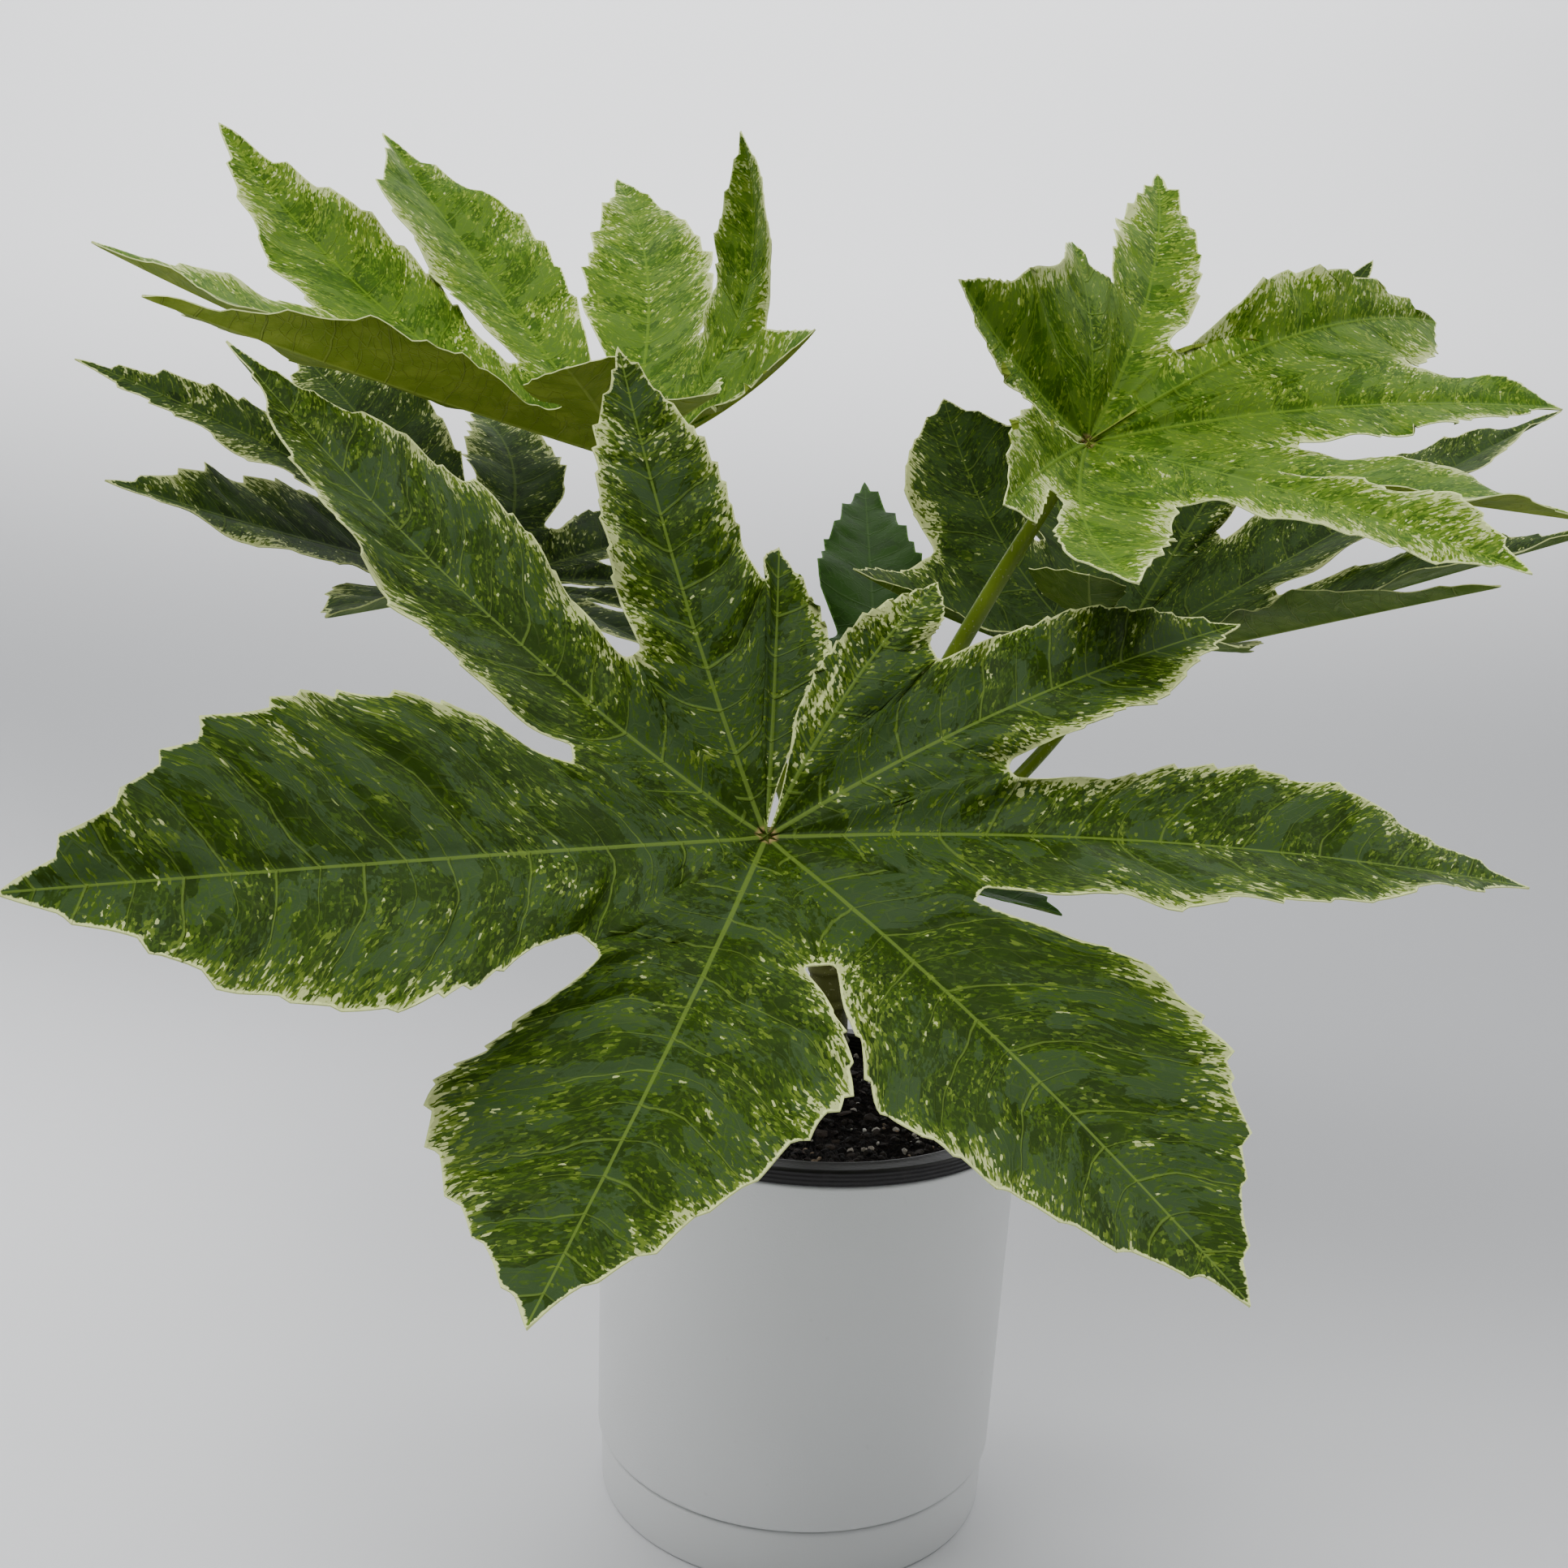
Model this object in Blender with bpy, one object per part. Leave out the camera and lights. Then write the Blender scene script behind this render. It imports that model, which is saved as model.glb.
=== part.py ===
"""Variegated fatsia: seven lobed leaves on a short stem, in a nursery pot inside a white planter.

Metres, +Z up. The origin is the centre of the planter's foot, on the ground; -Y is the front.
Leaf shapes are written in millimetres and degrees, in each leaf's own flat layout.
"""
import math

import bmesh
import bpy
import numpy as np

MM = 0.001

# Pot, soil and stem
PLANTER_MOUTH_RADIUS = 0.0650
PLANTER_FOOT_RADIUS = 0.0626
PLANTER_HEIGHT = 0.1237
PLANTER_WALL = 0.0025
SAUCER_RADIUS = 0.0614
SAUCER_HEIGHT = 0.0173
NURSERY_LIP_TOP = 0.1285
NURSERY_RADIUS = 0.0595
NURSERY_BASE_RADIUS = 0.0500
NURSERY_BOTTOM = 0.0063
NURSERY_WALL = 0.0012
SOIL_LEVEL = 0.1205
SOIL_DEPTH = 0.095
STEM_FOOT = (0.0130, 0.0350)
STEM_TOP = (0.0070, 0.0320)
STEM_TOP_HEIGHT = 0.2180
STEM_ROOT_HEIGHT = 0.0850
STEM_RADIUS = 0.0042
TOUCH_GAP = 0.0003
ROUND_SIDES = 40

# Leaves: lengths in metres, the fold in degrees, the rest shares of a length or an angle
BLADE_THICKNESS = 0.0008
FOLD = 12.0
WIDEST_AT = 0.45
TIP_POWER = 1.15
FIRST_TOOTH = 0.22
TOOTH = 0.17
WEB_END = 0.65
WEB_FADE = 0.032
EDGE_GAP = 0.0008
BASAL_SINUS = 0.45
BASAL_EDGE = 0.7


def clear_scene():
    for obj in list(bpy.data.objects):
        bpy.data.objects.remove(obj, do_unlink=True)


def material(name, colour, roughness, metallic=0.0):
    mat = bpy.data.materials.new(name)
    mat.use_nodes = True
    shader = mat.node_tree.nodes["Principled BSDF"]
    shader.inputs["Base Color"].default_value = (*colour, 1.0)
    shader.inputs["Roughness"].default_value = roughness
    shader.inputs["Metallic"].default_value = metallic
    return mat


def mesh_object(name, points, faces, mat, smooth_angle=40):
    """A named object from points and faces, shaded smooth below the given crease angle."""
    mesh = bpy.data.meshes.new(name)
    mesh.from_pydata([tuple(p) for p in points], [], faces)
    mesh.materials.append(mat)
    mesh.shade_smooth()
    mesh.set_sharp_from_angle(angle=math.radians(smooth_angle))
    obj = bpy.data.objects.new(name, mesh)
    bpy.context.collection.objects.link(obj)
    return obj


def turned(name, profile, mat, sides=ROUND_SIDES):
    """A body turned about Z. The profile of (radius, height) runs up the outside and down the
    inside, as a ring, or from axis to axis where its first and last radius are zero."""
    solid = profile[0][0] == 0
    ring_profile = profile[1:-1] if solid else profile
    points = []
    for i in range(sides):
        angle = 2 * math.pi * i / sides
        for radius, height in ring_profile:
            points.append((radius * math.cos(angle), radius * math.sin(angle), height))
    count = len(ring_profile)
    faces = []
    for i in range(sides):
        j = (i + 1) % sides
        for k in range(count - 1 if solid else count):
            m = (k + 1) % count
            faces.append((i * count + k, j * count + k, j * count + m, i * count + m))
    if solid:
        first = len(points)
        points.append((0, 0, profile[0][1]))
        points.append((0, 0, profile[-1][1]))
        for i in range(sides):
            j = (i + 1) % sides
            faces.append((first, j * count, i * count))
            faces.append((first + 1, i * count + count - 1, j * count + count - 1))
    return mesh_object(name, points, faces, mat)


def rounded(radius, height, bend, start, end, steps=3):
    """Points of an arc in a profile, about (radius, height), from one angle to another."""
    out = []
    for i in range(steps + 1):
        angle = math.radians(start + (end - start) * i / steps)
        out.append((radius + bend * math.cos(angle), height + bend * math.sin(angle)))
    return out


def build_saucer(mat):
    """The shallow dish that the planter stands in, flat underneath."""
    wall = 0.0020
    floor = 0.0026
    foot = SAUCER_RADIUS - 0.0008
    profile = [(0, 0), (foot - 0.0010, 0)]
    profile += rounded(foot - 0.0010, 0.0010, 0.0010, -60, 0, 2)
    profile += rounded(SAUCER_RADIUS - wall / 2, SAUCER_HEIGHT - wall / 2, wall / 2, 0, 180)
    profile += [(SAUCER_RADIUS - wall, floor), (0, floor)]
    return turned("saucer", profile, mat)


def build_planter(mat):
    """The white outer pot: its narrow foot drops into the saucer and its wall rounds out over it."""
    foot_bottom = 0.0029
    floor_top = 0.0060
    foot = SAUCER_RADIUS - 0.0030
    drain = 0.0070
    step_height = SAUCER_HEIGHT + 0.0004
    half_wall = PLANTER_WALL / 2
    profile = [(drain, foot_bottom), (foot, foot_bottom), (foot, step_height)]
    profile += [(SAUCER_RADIUS - 0.0014, step_height)]
    profile += rounded(PLANTER_FOOT_RADIUS - 0.0060, step_height + 0.0060, 0.0060, -55, 0, 2)
    lip = rounded(PLANTER_MOUTH_RADIUS - half_wall, PLANTER_HEIGHT - half_wall, half_wall, 0, 180)
    profile += lip
    profile += [(PLANTER_FOOT_RADIUS - PLANTER_WALL, 0.0300)]
    profile += [(foot - PLANTER_WALL, step_height + 0.0010)]
    profile += [(foot - PLANTER_WALL, floor_top), (drain, floor_top)]
    return turned("planter", profile, mat)


def build_nursery_pot(mat):
    """The thin black pot that holds the roots. Its lip hooks over the planter's edge."""
    bottom = NURSERY_BOTTOM
    drain = 0.0070
    lip_under = PLANTER_HEIGHT + TOUCH_GAP
    lip_radius = PLANTER_MOUTH_RADIUS + 0.0003
    inner = NURSERY_RADIUS - NURSERY_WALL
    edge = 0.0012
    profile = [(drain, bottom), (NURSERY_BASE_RADIUS, bottom), (NURSERY_RADIUS, lip_under)]
    profile += [(lip_radius, lip_under)]
    profile += rounded(lip_radius - edge, NURSERY_LIP_TOP - edge, edge, 0, 90, 2)
    profile += rounded(inner + edge, NURSERY_LIP_TOP - edge, edge, 90, 180, 2)
    profile += [(NURSERY_BASE_RADIUS - NURSERY_WALL, bottom + NURSERY_WALL)]
    profile += [(drain, bottom + NURSERY_WALL)]
    return turned("nursery_pot", profile, mat)


def nursery_inner_radius(height):
    """The nursery pot's inner radius at a height above its floor."""
    low, high = NURSERY_BOTTOM + NURSERY_WALL, NURSERY_LIP_TOP - 0.0012
    share = (height - low) / (high - low)
    return NURSERY_BASE_RADIUS - NURSERY_WALL + (NURSERY_RADIUS - NURSERY_BASE_RADIUS) * share


def soil_height(x, y):
    """The uneven top of the soil, a little heaped towards the stem."""
    wave = 0.0007 * math.sin(95 * x + 1.0) * math.cos(120 * y) + 0.0005 * math.sin(210 * x - 160 * y)
    heap = 0.0012 * math.exp(-((x - STEM_FOOT[0]) ** 2 + (y - STEM_FOOT[1]) ** 2) / 0.0004)
    return SOIL_LEVEL + wave + heap


def stem_axis(height):
    """The stem leans slightly from its foot at soil level to its top."""
    share = (height - SOIL_LEVEL) / (STEM_TOP_HEIGHT - SOIL_LEVEL)
    x = STEM_FOOT[0] + (STEM_TOP[0] - STEM_FOOT[0]) * share
    y = STEM_FOOT[1] + (STEM_TOP[1] - STEM_FOOT[1]) * share
    return np.array([x, y, height])


def build_soil(mat):
    """The root ball's soil, with a plain hole where the stem goes in."""
    bottom = SOIL_LEVEL - SOIL_DEPTH
    rings = (1.0, 0.8, 0.55, 0.28)
    points = []
    for share in rings:
        radius = (nursery_inner_radius(SOIL_LEVEL) - TOUCH_GAP) * share
        for i in range(ROUND_SIDES):
            angle = 2 * math.pi * i / ROUND_SIDES
            x, y = radius * math.cos(angle), radius * math.sin(angle)
            points.append((x, y, soil_height(x, y) if share < 1 else SOIL_LEVEL))
    base_radius = nursery_inner_radius(bottom) - TOUCH_GAP
    for i in range(ROUND_SIDES):
        angle = 2 * math.pi * i / ROUND_SIDES
        points.append((base_radius * math.cos(angle), base_radius * math.sin(angle), bottom))
    points.append((0, 0, soil_height(0, 0)))
    top_centre = len(points) - 1
    faces = []
    for i in range(ROUND_SIDES):
        j = (i + 1) % ROUND_SIDES
        for ring in range(len(rings) - 1):
            a, b = ring * ROUND_SIDES, (ring + 1) * ROUND_SIDES
            faces.append((a + i, a + j, b + j, b + i))
        last = (len(rings) - 1) * ROUND_SIDES
        faces.append((last + i, last + j, top_centre))
        base = len(rings) * ROUND_SIDES
        faces.append((base + i, base + j, j, i))
    faces.append(tuple(len(rings) * ROUND_SIDES + i for i in reversed(range(ROUND_SIDES))))
    soil = mesh_object("soil", points, faces, mat)
    cut_stem_hole(soil)
    return soil


def cut_stem_hole(soil):
    """Cuts the stem's hole down from the surface with a cutter that follows the stem's lean."""
    depth_point = stem_axis(STEM_ROOT_HEIGHT - TOUCH_GAP)
    high_point = stem_axis(SOIL_LEVEL + 0.010)
    points, faces = tube([depth_point, high_point], [STEM_RADIUS + 0.0012 + TOUCH_GAP] * 2, 12)
    cutter = mesh_object("stem_hole_cutter", points, faces, soil.data.materials[0])
    cutter.hide_render = True
    cutter.display_type = "WIRE"
    hole = soil.modifiers.new("stem hole", "BOOLEAN")
    hole.operation = "DIFFERENCE"
    hole.object = cutter


def tube(path, radii, sides, first_normal=None):
    """A closed round tube along a path; its first end can be cut square to first_normal."""
    path = np.array(path, float)
    tangents = np.gradient(path, axis=0)
    if first_normal is not None:
        tangents[0] = first_normal
    points = []
    side = np.array([1.0, 0.0, 0.0])
    for centre, tangent, radius in zip(path, tangents, radii):
        tangent = tangent / np.linalg.norm(tangent)
        side = side - tangent * side.dot(tangent)
        if np.linalg.norm(side) < 1e-6:
            side = np.cross(tangent, (0.0, 1.0, 0.0))
        side = side / np.linalg.norm(side)
        other = np.cross(tangent, side)
        for i in range(sides):
            angle = 2 * math.pi * i / sides
            points.append(centre + radius * (math.cos(angle) * side + math.sin(angle) * other))
    faces = [tuple(reversed(range(sides)))]
    for ring in range(len(path) - 1):
        a, b = ring * sides, (ring + 1) * sides
        for i in range(sides):
            j = (i + 1) % sides
            faces.append((a + i, a + j, b + j, b + i))
    last = (len(path) - 1) * sides
    faces.append(tuple(last + i for i in range(sides)))
    return points, faces


def build_stem(mat):
    """The short upright stem, with low rings where old leaves fell and a pointed bud on top."""
    heights = [STEM_ROOT_HEIGHT]
    radii = [STEM_RADIUS + 0.0012]
    rings = (0.1210, 0.1330, 0.1460, 0.1580)
    for ring in rings:
        heights += [ring - 0.0018, ring, ring + 0.0018]
        radii += [STEM_RADIUS + 0.0004, STEM_RADIUS + 0.0010, STEM_RADIUS + 0.0002]
    heights += [0.1760, 0.2080, 0.2120, 0.2155, STEM_TOP_HEIGHT]
    radii += [STEM_RADIUS, STEM_RADIUS, STEM_RADIUS - 0.0006, STEM_RADIUS - 0.0022, 0.0006]
    points, faces = tube([stem_axis(h) for h in heights], radii, 12)
    return mesh_object("stem", points, faces, mat)


class Lobe:
    """One lobe of a leaf: its midrib bent in space, and the blade's surface on both sides of it.

    Angles are degrees in the flat leaf, sizes millimetres. A lobe leaves the leaf's middle at
    an angle, lifted by rise; over its length droop is added to that lift, sweep to the angle,
    and twist turns the blade about its midrib.
    """

    def __init__(self, angle, length, width, rise, droop, sweep=0, twist=0):
        self.angle = angle
        self.length = length * MM
        self.width = width * MM
        self.twist = math.radians(twist)
        self.steps = 40
        share = np.linspace(0, 1, self.steps + 1)
        turn = np.radians(angle + sweep * share)
        lift = np.radians(rise + droop * share)
        flat = np.stack([np.sin(turn), np.cos(turn), 0 * turn], -1)
        up = np.array([0.0, 0.0, 1.0])
        self.along = flat * np.cos(lift)[:, None] + up * np.sin(lift)[:, None]
        self.normal = up * np.cos(lift)[:, None] - flat * np.sin(lift)[:, None]
        self.side = np.stack([np.cos(turn), -np.sin(turn), 0 * turn], -1)
        middles = (self.along[1:] + self.along[:-1]) / 2
        walked = np.cumsum(middles, axis=0) * self.length / self.steps
        self.midrib = np.vstack([np.zeros(3), walked])

    def at(self, values, s):
        """A value along the midrib at distance s, between its stored steps."""
        place = min(max(s / self.length, 0.0), 1.0) * self.steps
        low = min(int(place), self.steps - 1)
        return values[low] * (1 - place + low) + values[low + 1] * (place - low)

    def surface(self, s, t):
        """The point of the blade s along the midrib and t across it."""
        turned_by = self.twist * min(max(s / self.length, 0.0), 1.0)
        side = self.at(self.side, s)
        normal = self.at(self.normal, s)
        across = side * math.cos(turned_by) + normal * math.sin(turned_by)
        lift = normal * math.cos(turned_by) - side * math.sin(turned_by)
        fold = math.radians(FOLD)
        point = self.at(self.midrib, s) + self.along[0] * min(s, 0.0)
        return point + across * t * math.cos(fold) + lift * abs(t) * math.sin(fold)


def tooth_pitch(teeth):
    """From one tooth to the next, as a share of the margin's length."""
    return (1 - FIRST_TOOTH) / (teeth + 0.4)


def margin_rows(teeth):
    """Places along a lobe's margin, from its sinus to its tip: 1 at a tooth, -1 at a notch."""
    rows = [(0.08, 0)]
    pitch = tooth_pitch(teeth)
    for tooth in range(teeth):
        rows.append((FIRST_TOOTH + pitch * tooth, -1))
        rows.append((FIRST_TOOTH + pitch * (tooth + 0.75), 1))
    return rows + [(1.0, 0)]


def half_width(lobe, x, sinus_width):
    """Half of the lobe's width at x, from 0 at the sinus to 1 at the tip."""
    power = TIP_POWER * WIDEST_AT / (1 - WIDEST_AT)
    peak = WIDEST_AT ** power * (1 - WIDEST_AT) ** TIP_POWER
    bulge = lobe.width * x ** power * (1 - x) ** TIP_POWER / peak
    return bulge + sinus_width * (1 - x) ** 6


class Blade:
    """A palmate blade as one sheet of triangles, later given its thickness."""

    def __init__(self, lobes, sinuses, teeth, web_rows, cells, basal_lap):
        self.lobes = lobes
        self.sinuses = [s * MM for s in sinuses]
        self.rows = margin_rows(teeth)
        self.pitch = tooth_pitch(teeth)
        self.web_rows = web_rows
        self.cells = cells
        self.basal_lap = math.radians(basal_lap)
        self.points = [np.zeros(3)]
        self.triangles = []
        self.shared = {}
        for k in range(len(lobes)):
            self.add_lobe(k)

    def gap(self, k, side):
        """The neighbour beyond a lobe's side, half the angle to it, and the sinus's distance."""
        other = k + side
        if 0 <= other < len(self.lobes):
            half = abs(self.lobes[other].angle - self.lobes[k].angle) / 2
            return other, math.radians(half), self.sinuses[min(k, other)]
        half = math.radians(360 - self.lobes[-1].angle + self.lobes[0].angle) / 2
        return None, half * BASAL_EDGE, BASAL_SINUS * self.sinuses[k - (1 if k else 0)]

    def side_limit(self, k, side, s):
        """How wide one side of a lobe may be at s, so that it clears its neighbour."""
        beyond = self.lobes[(k + side) % len(self.lobes)]
        own = self.lobes[k].at(self.lobes[k].midrib, s)[:2]
        near = beyond.at(beyond.midrib, s)[:2]
        reach = np.linalg.norm(own)
        half = math.acos(own.dot(near) / (reach * np.linalg.norm(near))) / 2
        if not 0 <= k + side < len(self.lobes):
            half += self.basal_lap
        return reach * math.tan(half) - EDGE_GAP

    def place(self, k, other, s, t, share):
        """A flat point of lobe k in space, mixed with its neighbour's surface by share."""
        own = self.lobes[k].surface(s, t)
        if other is None or share == 0:
            return own
        turn = math.radians(self.lobes[other].angle - self.lobes[k].angle)
        s_other = s * math.cos(turn) + t * math.sin(turn)
        t_other = t * math.cos(turn) - s * math.sin(turn)
        return own * (1 - share) + self.lobes[other].surface(s_other, t_other) * share

    def add_point(self, point, key=None):
        if key is not None and key in self.shared:
            return self.shared[key]
        self.points.append(point)
        if key is not None:
            self.shared[key] = len(self.points) - 1
        return len(self.points) - 1

    def add_lobe(self, k):
        lobe = self.lobes[k]
        sinus_place = [self.gap(k, side)[2] * math.cos(self.gap(k, side)[1]) for side in (1, -1)]
        web_end = WEB_END * max(sinus_place)
        stations = [web_end * j / self.web_rows for j in range(1, self.web_rows + 1)]
        stations += [web_end + (lobe.length - web_end) * x for x, _ in self.rows]
        midrib = [self.add_point(self.place(k, None, s, 0, 0)) for s in stations]
        for side in (1, -1):
            columns = self.side_rows(k, side, stations, midrib)
            self.join_rows(columns, side)

    def side_rows(self, k, side, stations, midrib):
        """Point numbers of each row of one side of a lobe, from its midrib to its edge."""
        lobe = self.lobes[k]
        other, half, radius = self.gap(k, side)
        sinus_s, sinus_t = radius * math.cos(half), radius * math.sin(half)
        free = lobe.length - sinus_s
        rows = [[0]]
        for j, station in enumerate(stations):
            if j < self.web_rows:
                share = (j + 1) / self.web_rows
                edge_s, edge_t, mix = sinus_s * share, sinus_t * share, 0.5
                tooth, x = 0, 0
            else:
                x, tooth = self.rows[j - self.web_rows]
                edge_s = sinus_s + free * x
                edge_t = half_width(lobe, x, sinus_t)
                limit = self.side_limit(k, side, edge_s) * (1 - 0.06 * min(1, x / 0.3))
                edge_t = min(edge_t, limit)
                mix = 0.5 * max(0, 1 - x * free / min(WEB_FADE, free * 0.9)) ** 2
            if x == 1:
                rows.append([midrib[j]])
                continue
            row = [midrib[j]]
            for c in range(1, self.cells):
                v = c / self.cells
                s = station + (edge_s - station) * v ** 1.4
                blend = mix * v * v * (3 - 2 * v)
                row.append(self.add_point(self.place(k, other, s, side * edge_t * v, blend)))
            size = TOOTH * self.pitch * free * min(1, (1 - x) / 0.3)
            s = edge_s + max(tooth, 0) * size
            t = edge_t + tooth * size * 0.5
            key = (min(k, other), j) if other is not None and j < self.web_rows else None
            row.append(self.add_point(self.place(k, other, s, side * t, mix), key))
            rows.append(row)
        return rows

    def join_rows(self, rows, side):
        for low, high in zip(rows, rows[1:]):
            count = max(len(low), len(high)) - 1
            for c in range(count):
                a = low[min(c, len(low) - 1)]
                b = low[min(c + 1, len(low) - 1)]
                d = high[min(c, len(high) - 1)]
                e = high[min(c + 1, len(high) - 1)]
                for tri in ((a, b, e), (a, e, d)):
                    if len(set(tri)) == 3:
                        self.triangles.append(tri if side > 0 else tri[::-1])

    def thick(self, thickness):
        """Points and triangles of the closed blade, the same split on both faces."""
        points = np.array(self.points)
        normals = np.zeros_like(points)
        for a, b, c in self.triangles:
            area = np.cross(points[b] - points[a], points[c] - points[a])
            for corner in (a, b, c):
                normals[corner] += area
        normals /= np.linalg.norm(normals, axis=1)[:, None]
        count = len(points)
        both = np.vstack([points + normals * thickness / 2, points - normals * thickness / 2])
        faces = list(self.triangles)
        faces += [(c + count, b + count, a + count) for a, b, c in self.triangles]
        edges = set()
        for a, b, c in self.triangles:
            edges |= {(a, b), (b, c), (c, a)}
        for a, b in sorted(edges):
            if (b, a) not in edges:
                faces.append((b, a, a + count))
                faces.append((b, a + count, b + count))
        return both, faces


def leaf_axes(heading, tilt, roll):
    """Columns: across, along the middle lobe, and up from the blade. Heading is from -Y to +X."""
    h, t, r = (math.radians(v) for v in (heading, tilt, roll))
    along = np.array([math.sin(h) * math.cos(t), -math.cos(h) * math.cos(t), math.sin(t)])
    level = np.array([-math.sin(h) * math.sin(t), math.cos(h) * math.sin(t), math.cos(t)])
    up = level * math.cos(r) + np.cross(along, level) * math.sin(r)
    return np.stack([np.cross(along, up), along, up], -1)


def petiole_path(attach_height, junction, blade_up, bow, climb, turn_in):
    """The leaf stalk's centre line, from the stem's side to just through the blade."""
    axis = stem_axis(attach_height)
    outward = junction - axis
    outward[2] = 0
    outward = outward / np.linalg.norm(outward)
    start = axis + outward * (STEM_RADIUS + 0.0004 + TOUCH_GAP)
    end = junction + blade_up * 0.0007
    reach = np.linalg.norm(end - start)
    up = np.array([0.0, 0.0, 1.0])
    climb = math.radians(climb)
    leave = (outward * math.cos(climb) + up * math.sin(climb)) * reach * bow
    arrive = (blade_up * turn_in + (end - start) / reach * (1 - turn_in)) * reach * 0.3
    path = []
    for i in range(13):
        q = i / 12
        path.append((1 - q) ** 3 * start + 3 * (1 - q) ** 2 * q * (start + leave)
                    + 3 * (1 - q) * q * q * (end - arrive) + q ** 3 * end)
    return path, outward


def build_leaf(name, mat, junction, pose, petiole, lobes, sinuses, teeth=3, web_rows=2, cells=2,
               basal_lap=0):
    """One leaf in one body: the blade, with its stalk joined on by a union."""
    junction = np.array(junction) * MM
    axes = leaf_axes(*pose)
    lobes = [Lobe(*lobe) for lobe in lobes]
    blade = Blade(lobes, sinuses, teeth, web_rows, cells, basal_lap)
    points, faces = blade.thick(BLADE_THICKNESS)
    leaf = mesh_object(name, points @ axes.T + junction, faces, mat, smooth_angle=50)
    attach_height, radius, bow, climb, turn_in = petiole
    path, outward = petiole_path(attach_height * MM, junction, axes[:, 2], bow, climb, turn_in)
    radii = []
    for i in range(len(path)):
        q = i / (len(path) - 1)
        radii.append(radius * MM * (1 + 0.45 * math.exp(-q * 9) - 0.35 * q ** 3))
    points, faces = tube(path, radii, 8, outward)
    stalk = mesh_object(name + "_stalk", points, faces, mat)
    join = leaf.modifiers.new("stalk", "BOOLEAN")
    join.operation = "UNION"
    join.solver = "MANIFOLD"
    join.object = stalk
    bpy.context.view_layer.objects.active = leaf
    bpy.ops.object.modifier_apply(modifier=join.name)
    bpy.data.objects.remove(stalk, do_unlink=True)
    return leaf


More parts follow.
